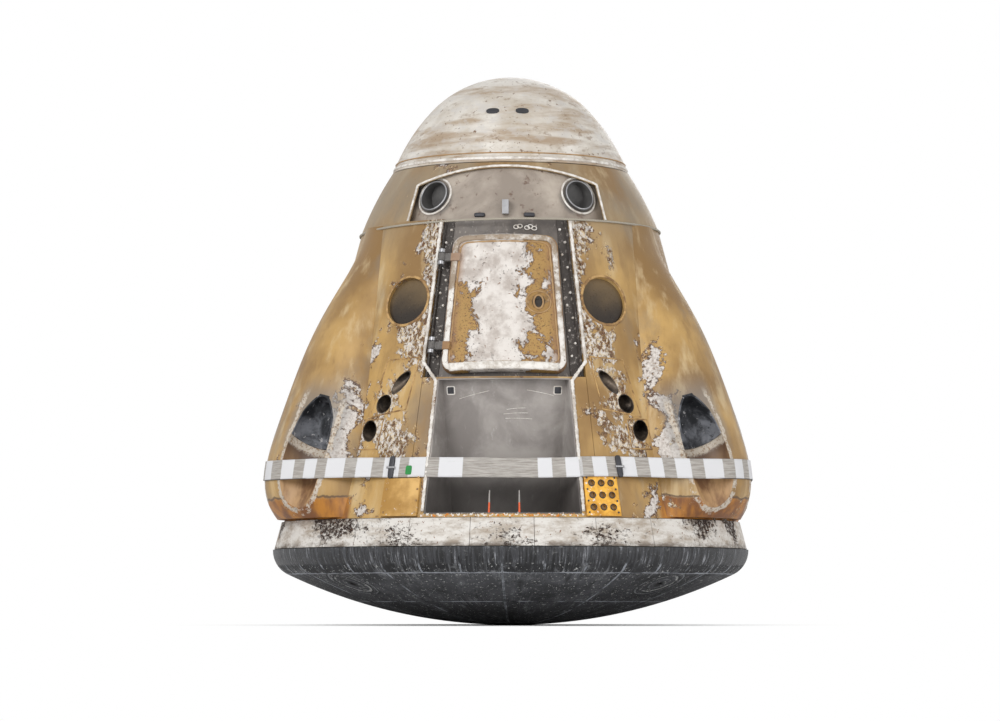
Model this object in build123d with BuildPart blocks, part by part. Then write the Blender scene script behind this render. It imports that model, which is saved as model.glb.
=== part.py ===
from build123d import *
import math
import os

# A crew capsule that has come back from orbit and stands on its convex heat shield.
# Millimetres. The origin is the lowest point of the shield, +Z is up and the side hatch faces -Y.
# Azimuths are degrees about +Z, 0 at the hatch (-Y) and 90 at +X.

os.makedirs("parts", exist_ok=True)

# Driving dimensions: the outer shape
HEIGHT = 4400  # shield apex to nose cap top
RIM_R = 1900  # widest radius of the heat shield
SHIELD_R = 4136  # radius of the spherical shield face
SHOULDER_START_R = RIM_R - 121  # where the sphere ends and the shoulder begins
WALL_Z = 820  # foot of the side wall
WALL_TOP_Z = 3150  # top of the side wall
WALL_FOOT_R = RIM_R - 89
WALL_TOP_R = WALL_FOOT_R - 621
NECK_TOP_Z = 3610  # top face of the forward section
NECK_TOP_R = WALL_TOP_R - 235

# Driving dimensions: thicknesses, gaps and clearances
TILE_T = 75
TILE_GAP = 4
SEAT = 0.3  # clearance of a piece in its seat
SWING = 5  # clearance of a moving piece
PANEL_GAP = 4  # seam between wall panels
CARRIER_T = 95
BAND_T = 42

# Driving dimensions: the cabin
FLOOR_Z = 1150
FLOOR_T = 60
FLOOR_R = WALL_FOOT_R - 611
LEDGE_W = 40
KNEE_Z = 1750
KNEE_R = FLOOR_R + 140
CABIN_TOP_R = WALL_TOP_R - 140
CEILING_Z = 3300
CEILING_R = CABIN_TOP_R - 300

WALL_SLOPE = (WALL_FOOT_R - WALL_TOP_R) / (WALL_TOP_Z - WALL_Z)
WALL_TILT = math.degrees(math.atan(WALL_SLOPE))


def wall_r(z):
    """Radius of the outer cone at height z."""
    return WALL_FOOT_R - WALL_SLOPE * (z - WALL_Z)


def spot(az, r, z):
    """A point at an azimuth, radius and height."""
    a = math.radians(az)
    return (r * math.sin(a), -r * math.cos(a), z)


def radial_plane(az):
    """A vertical plane through the axis whose local x is the radius and local y the height."""
    a = math.radians(az)
    return Plane(origin=(0, 0, 0), x_dir=(math.sin(a), -math.cos(a), 0), z_dir=(-math.cos(a), -math.sin(a), 0))


def skin_plane(az, z, height=0):
    """A plane tangent to the cone: local x runs round it, local y up the slope, local z outwards."""
    a = math.radians(az)
    t = math.radians(WALL_TILT)
    normal = Vector(math.cos(t) * math.sin(a), -math.cos(t) * math.cos(a), math.sin(t))
    origin = Vector(*spot(az, wall_r(z), z)) + normal * height
    return Plane(origin=origin, x_dir=(math.cos(a), math.sin(a), 0), z_dir=normal)


def aimed_plane(base, tilt, heading):
    """The base plane turned so that its local z leans by tilt towards a heading in the plane (0 along x, 90 along y)."""
    t = math.radians(tilt)
    h = math.radians(heading)
    along = base.x_dir * math.cos(h) + base.y_dir * math.sin(h)
    aim = base.z_dir * math.cos(t) + along * math.sin(t)
    side = base.z_dir.cross(along)
    return Plane(origin=base.origin, x_dir=side, z_dir=aim)


def keep(piece, label):
    """Labels a finished piece and writes its file."""
    piece.part.label = label
    export_step(piece.part, f"parts/{label}.step")


# Heat shield section: a sphere, then a shoulder arc that turns it upright at the rim
SHOULDER_SIN = SHOULDER_START_R / SHIELD_R
SHOULDER_COS = math.sqrt(1 - SHOULDER_SIN**2)
SHOULDER_R = (RIM_R - SHOULDER_START_R) / (1 - SHOULDER_SIN)
SHOULDER_START_Z = SHIELD_R - SHIELD_R * SHOULDER_COS
SHOULDER_CENTRE_R = RIM_R - SHOULDER_R
RIM_Z = SHOULDER_START_Z + SHOULDER_R * SHOULDER_COS


def dome_z(r, depth=0):
    """Height of the sphere at radius r, depth millimetres inside the shield."""
    return SHIELD_R - math.sqrt((SHIELD_R - depth) ** 2 - r**2)


def dome_point(r, depth=0):
    """A point of the shield under radius r, moved depth millimetres inwards along the normal."""
    inward = (SHIELD_R - depth) / SHIELD_R
    return (r * inward, SHIELD_R - math.sqrt(SHIELD_R**2 - r**2) * inward)


def shoulder_point(share, depth=0):
    """A point of the shoulder arc, from 0 at the sphere to 1 at the rim."""
    start = math.asin(SHOULDER_SIN)
    angle = start + share * (math.pi / 2 - start)
    radius = SHOULDER_R - depth
    return (SHOULDER_CENTRE_R + radius * math.sin(angle), RIM_Z - radius * math.cos(angle))


# Tile rings: a centre disc, two rings of twelve and a row of short shoulder tiles
CENTRE_TILE_R = 436
RING_SPLIT_R = SHOULDER_START_R - 554
RING_COUNT = 12
EDGE_COUNT = 36
EDGE_TOP_Z = RIM_Z + 4

PAD_AZIMUTHS = (48, 132, -132, -48)
PAD_CIRCLE_R = SHOULDER_START_R - 189
PAD_R = 150
PAD_BOLT_R = 25
PAD_BOLT_DEPTH = 58
PAD_SINK = 3


def gap_angle(gap, r):
    """The angle that a gap takes at radius r."""
    return math.degrees(gap / r)


def tile_ring(r_in, r_out, index, count):
    """Sketches and revolves one tile between two radii, with its seams left open."""
    pitch = 360 / count
    seam = gap_angle(TILE_GAP, r_out)
    low, high = r_in + TILE_GAP / 2, r_out - TILE_GAP / 2
    mid = (low + high) / 2
    with BuildSketch(radial_plane(index * pitch + seam / 2)) as profile:
        with BuildLine():
            ThreePointArc(dome_point(low), dome_point(mid), dome_point(high))
            Line(dome_point(high), dome_point(high, TILE_T))
            ThreePointArc(dome_point(high, TILE_T), dome_point(mid, TILE_T), dome_point(low, TILE_T))
            Line(dome_point(low, TILE_T), dome_point(low))
        make_face()
    revolve(profile.sketch, axis=Axis.Z, revolution_arc=pitch - seam)


with BuildPart() as centre_tile:
    with BuildSketch(Plane.XZ):
        edge = CENTRE_TILE_R - TILE_GAP / 2
        with BuildLine():
            ThreePointArc((0, 0), dome_point(edge / 2), dome_point(edge))
            Line(dome_point(edge), dome_point(edge, TILE_T))
            ThreePointArc(dome_point(edge, TILE_T), dome_point(edge / 2, TILE_T), (0, TILE_T))
            Line((0, TILE_T), (0, 0))
        make_face()
    revolve(axis=Axis.Z)
keep(centre_tile, "shield_centre_tile")

with BuildPart() as inner_tiles:
    for index in range(RING_COUNT):
        tile_ring(CENTRE_TILE_R, RING_SPLIT_R, index, RING_COUNT)
keep(inner_tiles, "shield_inner_tiles")

with BuildPart() as outer_tiles:
    for index in range(RING_COUNT):
        tile_ring(RING_SPLIT_R, SHOULDER_START_R, index, RING_COUNT)
    with Locations(*[spot(az, PAD_CIRCLE_R, RIM_Z) for az in PAD_AZIMUTHS]):
        Cylinder(PAD_R + SEAT, 2 * RIM_Z, mode=Mode.SUBTRACT)
keep(outer_tiles, "shield_outer_tiles")

with BuildPart() as edge_tiles:
    for index in range(EDGE_COUNT):
        pitch = 360 / EDGE_COUNT
        seam = gap_angle(TILE_GAP, RIM_R)
        lift = TILE_GAP / 2 / RIM_R
        with BuildSketch(radial_plane(index * pitch + seam / 2)):
            with BuildLine():
                ThreePointArc(shoulder_point(lift), shoulder_point(0.5), shoulder_point(1))
                Line(shoulder_point(1), (RIM_R, EDGE_TOP_Z))
                Line((RIM_R, EDGE_TOP_Z), (RIM_R - TILE_T, EDGE_TOP_Z))
                Line((RIM_R - TILE_T, EDGE_TOP_Z), shoulder_point(1, TILE_T))
                ThreePointArc(shoulder_point(1, TILE_T), shoulder_point(0.5, TILE_T), shoulder_point(lift, TILE_T))
                Line(shoulder_point(lift, TILE_T), shoulder_point(lift))
            make_face()
        revolve(axis=Axis.Z, revolution_arc=pitch - seam)
keep(edge_tiles, "shield_edge_tiles")

# Carrier: the dish behind the tiles, with a flat upper flange for the base frame
FRAME_IN_R = FLOOR_R - LEDGE_W
DEEP = TILE_T + SEAT
CARRIER_TOP_Z = EDGE_TOP_Z
with BuildPart() as carrier:
    with BuildSketch(Plane.XZ):
        turn_r = SHOULDER_CENTRE_R + (SHOULDER_R - DEEP) * SHOULDER_SIN
        with BuildLine():
            ThreePointArc((0, DEEP), (turn_r / 2, dome_z(turn_r / 2, DEEP)), shoulder_point(0, DEEP))
            ThreePointArc(shoulder_point(0, DEEP), shoulder_point(0.5, DEEP), shoulder_point(1, DEEP))
            Line(shoulder_point(1, DEEP), (RIM_R - DEEP, CARRIER_TOP_Z))
            Line((RIM_R - DEEP, CARRIER_TOP_Z), (FRAME_IN_R, CARRIER_TOP_Z))
            Line((FRAME_IN_R, CARRIER_TOP_Z), (FRAME_IN_R, dome_z(FRAME_IN_R, DEEP + CARRIER_T)))
            ThreePointArc(
                (FRAME_IN_R, dome_z(FRAME_IN_R, DEEP + CARRIER_T)),
                (FRAME_IN_R / 2, dome_z(FRAME_IN_R / 2, DEEP + CARRIER_T)),
                (0, DEEP + CARRIER_T),
            )
            Line((0, DEEP + CARRIER_T), (0, DEEP))
        make_face()
    revolve(axis=Axis.Z)
keep(carrier, "shield_carrier")

with BuildPart() as tie_pads:
    with Locations(*[spot(az, PAD_CIRCLE_R, RIM_Z) for az in PAD_AZIMUTHS]):
        Cylinder(PAD_R, 2 * RIM_Z)
    with Locations((0, 0, SHIELD_R)):
        Sphere(SHIELD_R - PAD_SINK, mode=Mode.INTERSECT)
        Sphere(SHIELD_R - TILE_T, mode=Mode.SUBTRACT)
    hole_end = dome_z(PAD_CIRCLE_R) + PAD_SINK + PAD_BOLT_DEPTH
    with Locations(*[spot(az, PAD_CIRCLE_R, hole_end) for az in PAD_AZIMUTHS]):
        Cylinder(PAD_BOLT_R, hole_end, align=(Align.CENTER, Align.CENTER, Align.MAX), mode=Mode.SUBTRACT)
keep(tie_pads, "shield_tie_pads")

# Base frame: the flat ring that carries the walls, and the white insulation band outside it
BAND_Z = CARRIER_TOP_Z + 6
BAND_TOP_Z = WALL_Z - 4
BAND_LOW_R = RIM_R - 12
BAND_HIGH_R = WALL_FOOT_R + 21
BAND_COUNT = 24
FRAME_R = BAND_HIGH_R - BAND_T
with BuildPart() as base_frame:
    with BuildSketch(Plane.XZ):
        with BuildLine():
            Polyline(
                (FRAME_IN_R, CARRIER_TOP_Z), (FRAME_R, CARRIER_TOP_Z), (FRAME_R, WALL_Z), (FRAME_IN_R, WALL_Z), close=True
            )
        make_face()
    revolve(axis=Axis.Z)
keep(base_frame, "base_frame")

with BuildPart() as band:
    for index in range(BAND_COUNT):
        pitch = 360 / BAND_COUNT
        seam = gap_angle(PANEL_GAP, RIM_R)
        with BuildSketch(radial_plane((index - 0.5) * pitch + seam / 2)):
            with BuildLine():
                Polyline(
                    (FRAME_R + SEAT, BAND_Z),
                    (BAND_LOW_R, BAND_Z),
                    (BAND_HIGH_R, BAND_TOP_Z),
                    (FRAME_R + SEAT, BAND_TOP_Z),
                    close=True,
                )
            make_face()
        revolve(axis=Axis.Z, revolution_arc=pitch - seam)
keep(band, "insulation_band")

# Side walls: eight panels, full wall thickness, hollow cabin inside
HATCH_BAY_AZ = 24.3  # the front panel ends here
POD_AZ = 64
BAY_DEPTH = 72  # how far the hatch bay lies below the outer cone
BAY_FOOT_Z = 1900  # the hatch bay ends here and the main bay begins below

WALL_INSIDE = [
    (CABIN_TOP_R, WALL_TOP_Z),
    (KNEE_R, KNEE_Z),
    (FLOOR_R, FLOOR_Z),
    (FLOOR_R, FLOOR_Z - FLOOR_T),
    (FLOOR_R - LEDGE_W, FLOOR_Z - FLOOR_T),
    (FLOOR_R - LEDGE_W, WALL_Z),
]


def inner_r(z):
    """Radius of the cabin lining above the knee."""
    return KNEE_R - (KNEE_R - CABIN_TOP_R) * (z - KNEE_Z) / (WALL_TOP_Z - KNEE_Z)


def sector(az_low, az_high, points, mode=Mode.ADD):
    """Revolves a closed outline of radius and height points between two azimuths."""
    with BuildSketch(radial_plane(az_low)) as profile:
        with BuildLine():
            Polyline(*points, close=True)
        make_face()
    revolve(profile.sketch, axis=Axis.Z, revolution_arc=az_high - az_low, mode=mode)


def wall_sector(az_low, az_high):
    """One wall panel between two azimuths, with half a seam left open at each end."""
    half = gap_angle(PANEL_GAP, WALL_FOOT_R) / 2
    outside = [(WALL_FOOT_R, WALL_Z), (WALL_TOP_R, WALL_TOP_Z)]
    sector(az_low + half, az_high - half, outside + WALL_INSIDE)


def shell(az_half, z_low, z_high, low, high, mode=Mode.ADD):
    """A curved slab on the front of the cone from low to high millimetres outside it."""
    corners = [(wall_r(z_low) + low, z_low), (wall_r(z_low) + high, z_low)]
    corners += [(wall_r(z_high) + high, z_high), (wall_r(z_high) + low, z_high)]
    sector(-az_half, az_half, corners, mode)


def plate(az_low, az_high, z_low, z_high, low, high):
    """A curved plate on the cone between two azimuths, from low to high millimetres outside it."""
    corners = [(wall_r(z_low) + low, z_low), (wall_r(z_low) + high, z_low)]
    corners += [(wall_r(z_high) + high, z_high), (wall_r(z_high) + low, z_high)]
    sector(az_low, az_high, corners)


# Small thrusters: azimuth, height, mouth radius, length, tilt from the surface normal, heading on the surface
THRUSTERS = [
    (31.0, 1880, 44, 150, 68, 308),
    (36.2, 1706, 66, 150, 30, 300),
    (39.9, 1505, 68, 150, 42, 250),
]
THRUSTER_WALL = 6
THRUSTER_THROAT = 0.45  # share of the mouth radius
INJECTOR_T = 15


def bell_solid(plane, rows, grow, back=0):
    """A stack of cones along the plane's local z, grown by a wall and lengthened behind."""
    for (low, low_r), (high, high_r) in zip(rows, rows[1:]):
        with Locations(plane.offset(low)):
            Cone(low_r + grow, high_r + grow, high - low, align=(Align.CENTER, Align.CENTER, Align.MIN))
    if back:
        with Locations(plane.offset(rows[0][0] - back)):
            Cylinder(rows[0][1] + grow, back, align=(Align.CENTER, Align.CENTER, Align.MIN))


def thruster_rows(mouth_r, length):
    """The bell of a small thruster, which runs on past the skin so that the skin can trim it."""
    return [(-length, mouth_r * THRUSTER_THROAT), (0, mouth_r), (length, mouth_r + 1)]


def thruster_places():
    """Plane and bell rows of each small thruster in the front right quarter."""
    for az, z, mouth_r, length, tilt, heading in THRUSTERS:
        yield aimed_plane(skin_plane(az, z), tilt, heading), thruster_rows(mouth_r, length)


def thruster_cut(plane, rows):
    """The seat of one small thruster in its wall."""
    with BuildPart() as cut:
        bell_solid(plane, rows, THRUSTER_WALL + SEAT, INJECTOR_T + SEAT)
    return cut.part


# Windows: round, with a ledge that the pane rests on
WINDOW_AZ = 34.3
WINDOW_Z = 2510
WINDOW_R = 190
WINDOW_LEDGE = 22
PANE_T = 25
PANE_DEPTH = 62

# Each piece of a quarter is made at the front right and mirrored
QUARTERS = [
    ("front_right", []),
    ("front_left", [Plane.YZ]),
    ("rear_right", [Plane.XZ]),
    ("rear_left", [Plane.YZ, Plane.XZ]),
]


def keep_quarters(piece, label):
    """Writes the four mirrored copies of a front right piece as files of their own."""
    for name, mirrors in QUARTERS:
        copy = piece.part
        for plane in mirrors:
            copy = mirror(copy, about=plane)
        copy.label = f"{label}_{name}"
        export_step(copy, f"parts/{label}_{name}.step")


THRUSTER_CLEAR_Z = (1200, 2400)  # the skin trims the bells between these heights
FAR_R = 2 * RIM_R
with BuildPart() as outside:
    low_z, high_z = THRUSTER_CLEAR_Z
    sector(20, 50, [(wall_r(low_z), low_z), (FAR_R, low_z), (FAR_R, high_z), (wall_r(high_z), high_z)])

WINDOW_FACE = skin_plane(WINDOW_AZ, WINDOW_Z)
with BuildPart() as wall:
    wall_sector(HATCH_BAY_AZ, POD_AZ)
    with Locations(WINDOW_FACE):
        Cylinder(WINDOW_R, 2 * PANE_DEPTH, mode=Mode.SUBTRACT)
        Cylinder(WINDOW_R - WINDOW_LEDGE, 4 * WINDOW_R, mode=Mode.SUBTRACT)
    for cut in [thruster_cut(plane, rows) for plane, rows in thruster_places()]:
        add(cut, mode=Mode.SUBTRACT)
keep_quarters(wall, "wall")

with BuildPart() as panes:
    with Locations(WINDOW_FACE.offset(-PANE_DEPTH)):
        Cylinder(WINDOW_R - SEAT, PANE_T, align=(Align.CENTER, Align.CENTER, Align.MIN))
    mirror(about=Plane.YZ)
    mirror(about=Plane.XZ)
keep(panes, "window_panes")



def thruster_bell(plane, rows):
    """One small thruster, hollow and trimmed flush with the skin."""
    with BuildPart() as bore:
        bell_solid(plane, rows, 0)
    with BuildPart() as bell:
        bell_solid(plane, rows, THRUSTER_WALL, INJECTOR_T)
        add(outside.part, mode=Mode.SUBTRACT)
        add(bore.part, mode=Mode.SUBTRACT)
    return bell.part


with BuildPart() as thrusters:
    for plane, rows in thruster_places():
        add(thruster_bell(plane, rows))
    mirror(about=Plane.YZ)
    mirror(about=Plane.XZ)
keep(thrusters, "thrusters")

for name, side in (("left", -1), ("right", 1)):
    low, high = sorted((side * POD_AZ, side * (180 - POD_AZ)))
    with BuildPart() as wall:
        wall_sector(low, high)
    keep(wall, f"wall_side_{name}")

with BuildPart() as wall:
    wall_sector(180 - HATCH_BAY_AZ, 180 + HATCH_BAY_AZ)
keep(wall, "wall_rear")

# Side hatch: a proud cover over the opening and a plug inside it
HATCH_Z = 2485
HATCH_LENGTH = 1100  # along the slope
HATCH_RISE = HATCH_LENGTH / 2 * math.cos(math.radians(WALL_TILT))
CHANNEL_IN_AZ = 20.5  # the channels begin here, outside the hatch
HATCH_TOP_GAP = 29  # from the hatch's top corner to the channel
HATCH_FOOT_GAP = 43
HATCH_TOP_HALF = spot(CHANNEL_IN_AZ, wall_r(HATCH_Z + HATCH_RISE), 0)[0] - HATCH_TOP_GAP
HATCH_FOOT_HALF = spot(CHANNEL_IN_AZ, wall_r(HATCH_Z - HATCH_RISE), 0)[0] - HATCH_FOOT_GAP
HATCH_CORNER = 95
HATCH_PROUD = 12
HATCH_LAND = 40  # width of the landing round the opening
HATCH_PLUG_INSET = 75
HATCH_REACH = 400
HATCH_FACE = skin_plane(0, HATCH_Z)


def hatch_prism(inset):
    """The hatch outline, drawn smaller by inset, cut through the wall along the hatch's own normal."""
    rise = HATCH_LENGTH / 2 - inset
    top, foot = HATCH_TOP_HALF - inset, HATCH_FOOT_HALF - inset
    with BuildSketch(HATCH_FACE) as outline:
        with BuildLine():
            Polyline((-foot, -rise), (foot, -rise), (top, rise), (-top, rise), close=True)
        make_face()
        fillet(outline.vertices(), HATCH_CORNER - inset / 2)
    extrude(outline.sketch, amount=HATCH_REACH, both=True)


with BuildPart() as opening:
    hatch_prism(HATCH_LAND)

# Main parachute bay: an open pocket below the hatch with its own liner
MAIN_AZ = 19.5
MAIN_TOP_Z = 1888
MAIN_FOOT_Z = 845
MAIN_BACK = [(FLOOR_R + 240, MAIN_TOP_Z), (FLOOR_R + 100, FLOOR_Z), (FLOOR_R + 40, MAIN_FOOT_Z)]
LINER_T = 10
LINER_SINK = 4

with BuildPart() as wall:
    wall_sector(-HATCH_BAY_AZ, HATCH_BAY_AZ)
    above = [(wall_r(BAY_FOOT_Z) - BAY_DEPTH, BAY_FOOT_Z), (FAR_R, BAY_FOOT_Z), (FAR_R, HEIGHT)]
    above.append((wall_r(HEIGHT) - BAY_DEPTH, HEIGHT))
    sector(-HATCH_BAY_AZ - 1, HATCH_BAY_AZ + 1, above, Mode.SUBTRACT)
    sector(-MAIN_AZ, MAIN_AZ, MAIN_BACK + [(FAR_R, MAIN_FOOT_Z), (FAR_R, MAIN_TOP_Z)], Mode.SUBTRACT)
    add(opening.part, mode=Mode.SUBTRACT)
keep(wall, "wall_front")

with BuildPart() as liner:
    backs = [(MAIN_BACK[0][0] + SEAT, MAIN_TOP_Z - SEAT), (MAIN_BACK[1][0] + SEAT, FLOOR_Z)]
    backs.append((MAIN_BACK[2][0] + SEAT, MAIN_FOOT_Z + SEAT))
    lips = [(wall_r(MAIN_FOOT_Z) - LINER_SINK, MAIN_FOOT_Z + SEAT), (wall_r(MAIN_TOP_Z) - LINER_SINK, MAIN_TOP_Z - SEAT)]
    slack = gap_angle(SEAT, MAIN_BACK[2][0])
    sector(-MAIN_AZ + slack, MAIN_AZ - slack, backs + lips)
    inside = [(MAIN_BACK[0][0] + LINER_T, MAIN_TOP_Z - LINER_T), (MAIN_BACK[1][0] + LINER_T, FLOOR_Z)]
    inside += [(MAIN_BACK[2][0] + LINER_T, MAIN_FOOT_Z + LINER_T), (FAR_R, MAIN_FOOT_Z + LINER_T)]
    inside.append((FAR_R, MAIN_TOP_Z - LINER_T))
    room = MAIN_AZ - gap_angle(LINER_T, MAIN_BACK[2][0])
    sector(-room, room, inside, Mode.SUBTRACT)
keep(liner, "main_bay_liner")

# Riser channels: a plate on the bay floor each side of the hatch, with a raised edge
CHANNEL_LIP_AZ = 23.5
CHANNEL_OUT_AZ = 24.1
CHANNEL_T = 8
CHANNEL_LIP_H = 40
CHANNEL_FOOT_Z = BAY_FOOT_Z + 6
CHANNEL_TOP_Z = WALL_TOP_Z - 4
with BuildPart() as channels:
    floor_low = SEAT - BAY_DEPTH
    for side in (-1, 1):
        low, high = sorted((side * CHANNEL_IN_AZ, side * CHANNEL_OUT_AZ))
        plate(low, high, CHANNEL_FOOT_Z, CHANNEL_TOP_Z, floor_low, floor_low + CHANNEL_T)
        low, high = sorted((side * CHANNEL_LIP_AZ, side * CHANNEL_OUT_AZ))
        plate(low, high, CHANNEL_FOOT_Z, CHANNEL_TOP_Z, floor_low, floor_low + CHANNEL_LIP_H)
keep(channels, "riser_channels")

# Hatch hinge on the left edge: two forks on the wall and two tongues on the hatch
HINGE_AZ = -21.9
HINGE_H = 36  # axis height outside the cone
HINGE_SPREAD = 360  # from the middle to each hinge, along the edge
PIN_R = 10
KNUCKLE_R = 26
KNUCKLE_BORE_R = PIN_R + SEAT
TONGUE_W = 60
FORK_W = 26
FORK_GAP = SWING + 1
HINGE_FACE = skin_plane(HINGE_AZ, HATCH_Z)
FORK_OUT = TONGUE_W / 2 + FORK_GAP + FORK_W / 2
FOOT_HALF = 16


def along_hinge(rise):
    """A plane on the hinge axis whose local z runs along it."""
    centre = HINGE_FACE.origin + HINGE_FACE.y_dir * rise + HINGE_FACE.z_dir * HINGE_H
    return Plane(origin=centre, x_dir=HINGE_FACE.z_dir, z_dir=HINGE_FACE.y_dir)


RISES = (-HINGE_SPREAD, HINGE_SPREAD)
with BuildPart() as forks:
    for rise in RISES:
        for end in (-FORK_OUT, FORK_OUT):
            with Locations(along_hinge(rise + end)):
                Cylinder(KNUCKLE_R, FORK_W)
                Box(BAY_DEPTH + HINGE_H, 2 * FOOT_HALF, FORK_W, align=(Align.MAX, Align.CENTER, Align.CENTER))
        with Locations(along_hinge(rise)):
            Cylinder(PIN_R, 2 * FORK_OUT)
    shell(HATCH_BAY_AZ + 2, 1000, HEIGHT, -600, 2 * SEAT + CHANNEL_T - BAY_DEPTH, Mode.SUBTRACT)
keep(forks, "hatch_hinge_forks")

TONGUE_REACH = 150
TONGUE_DROP = 32  # from the axis down into the hatch's face
LATCH_X = 262
LATCH_LENGTH = 90
LATCH_W = 52
LATCH_DEPTH = 30
HATCH_SLAB_Z = HATCH_Z - HATCH_LENGTH / 2 - HATCH_CORNER  # the slabs reach below the hatch's lower edge
with BuildPart() as cover_slab:
    shell(HATCH_BAY_AZ, HATCH_SLAB_Z, WALL_TOP_Z, SWING + 1 - BAY_DEPTH, HATCH_PROUD)
with BuildPart() as plug_slab:
    corners = [(inner_r(HATCH_SLAB_Z) + SWING, HATCH_SLAB_Z), (wall_r(HATCH_SLAB_Z) - BAY_DEPTH + 2 * SWING, HATCH_SLAB_Z)]
    corners += [(wall_r(WALL_TOP_Z) - BAY_DEPTH + 2 * SWING, WALL_TOP_Z), (inner_r(WALL_TOP_Z) + SWING, WALL_TOP_Z)]
    sector(-HATCH_BAY_AZ, HATCH_BAY_AZ, corners)
with BuildPart() as cover:
    hatch_prism(0)
    add(cover_slab.part, mode=Mode.INTERSECT)
with BuildPart() as plug:
    hatch_prism(HATCH_PLUG_INSET)
    add(plug_slab.part, mode=Mode.INTERSECT)
with BuildPart() as side_hatch:
    add(cover.part)
    add(plug.part)
    for rise in RISES:
        with Locations(along_hinge(rise)):
            Cylinder(KNUCKLE_R, TONGUE_W)
            with Locations((-TONGUE_DROP, 0, 0)):
                Box(TONGUE_DROP, TONGUE_REACH, TONGUE_W, align=(Align.MIN, Align.MIN, Align.CENTER))
            Cylinder(KNUCKLE_BORE_R, 2 * TONGUE_W, mode=Mode.SUBTRACT)
    with Locations(HATCH_FACE.offset(HATCH_PROUD)):
        with Locations((LATCH_X, 0, 0)):
            Cylinder(LATCH_W / 2, 2 * LATCH_DEPTH, mode=Mode.SUBTRACT)
            Box(LATCH_W, LATCH_LENGTH - LATCH_W, 2 * LATCH_DEPTH, mode=Mode.SUBTRACT)
keep(side_hatch, "side_hatch")

# Abort engine pods: rows of height, how far the ridge stands out of the cone, and half width in degrees
POD_ROWS = [
    (832, 117, 20.5),
    (980, 262, 21),
    (1540, 341, 21),
    (2030, 291, 19),
    (2680, 125, 14),
    (3140, 29, 9),
]
POD_SINK = 60  # the loft starts this far inside the cone and is trimmed back to it

# Abort engines: distance along the axis from the mouth, then inner radius
ABORT_BELL = [(-330, 80), (-190, 140), (0, 172)]
ABORT_WALL = 12
ABORT_AZ = 10.5  # each side of the ridge
ABORT_Z = 1450
ABORT_MOUTH_R = wall_r(ABORT_Z) + 242
ABORT_TILT = 60  # below the horizontal
TROUGH_LENGTH = 620
TROUGH_R = 222


def abort_plane(az):
    """The mouth of one abort engine, with its local z along the exhaust."""
    a = math.radians(az)
    base = Plane(origin=spot(az, ABORT_MOUTH_R, ABORT_Z), x_dir=(math.cos(a), math.sin(a), 0), z_dir=(math.sin(a), -math.cos(a), 0))
    return aimed_plane(base, ABORT_TILT, -90)


def pod_loft(az):
    """The whole pod before its exhaust ports are cut."""
    for z, proud, half in POD_ROWS:
        ridge_r = wall_r(z) + proud
        foot_r = wall_r(z) - POD_SINK
        left = spot(az - half, wall_r(z), 0)
        right = spot(az + half, wall_r(z), 0)
        middle = spot(az, ridge_r, 0)
        low_left = spot(az - half, foot_r, 0)
        low_right = spot(az + half, foot_r, 0)
        with BuildSketch(Plane.XY.offset(z)) as row:
            with BuildLine():
                Line(low_left[:2], left[:2])
                ThreePointArc(left[:2], middle[:2], right[:2])
                Line(right[:2], low_right[:2])
                Line(low_right[:2], low_left[:2])
            make_face()
        yield row.sketch


LEANS = (-ABORT_AZ, ABORT_AZ)
with BuildPart() as core:
    sector(0, 90, [(0, 0), (wall_r(0) + SEAT, 0), (wall_r(HEIGHT) + SEAT, HEIGHT), (0, HEIGHT)])
with BuildPart() as pod_whole:
    loft(list(pod_loft(POD_AZ)))
    add(core.part, mode=Mode.SUBTRACT)
with BuildPart() as ports:
    for lean in LEANS:
        here = abort_plane(POD_AZ + lean)
        bell_solid(here, ABORT_BELL, ABORT_WALL + SEAT, INJECTOR_T + SEAT)
        with Locations(here):
            mouth_r = ABORT_BELL[-1][1] + ABORT_WALL + SEAT
            Cone(mouth_r, TROUGH_R, TROUGH_LENGTH, align=(Align.CENTER, Align.CENTER, Align.MIN))
with BuildPart() as throats:
    for lean in LEANS:
        bell_solid(abort_plane(POD_AZ + lean), ABORT_BELL, 0)
with BuildPart() as pod:
    add(pod_whole.part)
    add(ports.part, mode=Mode.SUBTRACT)
keep_quarters(pod, "abort_pod")
with BuildPart() as engines:
    for lean in LEANS:
        bell_solid(abort_plane(POD_AZ + lean), ABORT_BELL, ABORT_WALL, INJECTOR_T)
    add(throats.part, mode=Mode.SUBTRACT)
    add(pod_whole.part, mode=Mode.INTERSECT)
    mirror(about=Plane.YZ)
    mirror(about=Plane.XZ)
keep(engines, "abort_engines")

# Connector plate with nine sockets on the right, plain service panel on the left, both at the foot of the wall
CONNECTOR_AZ = (20.5, 29.5)
CONNECTOR_Z = (832, 1140)
CONNECTOR_T = 16
SOCKET_R = 21
SOCKET_AZ_STEP = 2.6
SOCKET_Z_STEP = 92
SERVICE_AZ = (-31, -21)
SERVICE_Z = (832, 1120)
SERVICE_T = 26
with BuildPart() as connector_plate:
    plate(*CONNECTOR_AZ, *CONNECTOR_Z, SEAT, SEAT + CONNECTOR_T)
    for column in (-1, 0, 1):
        for row in (-1, 0, 1):
            az = sum(CONNECTOR_AZ) / 2 + column * SOCKET_AZ_STEP
            with Locations(skin_plane(az, sum(CONNECTOR_Z) / 2 + row * SOCKET_Z_STEP)):
                Cylinder(SOCKET_R, 4 * CONNECTOR_T, mode=Mode.SUBTRACT)
keep(connector_plate, "connector_plate")

with BuildPart() as service_panel:
    plate(*SERVICE_AZ, *SERVICE_Z, SEAT, SEAT + SERVICE_T)
keep(service_panel, "service_panel")

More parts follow.
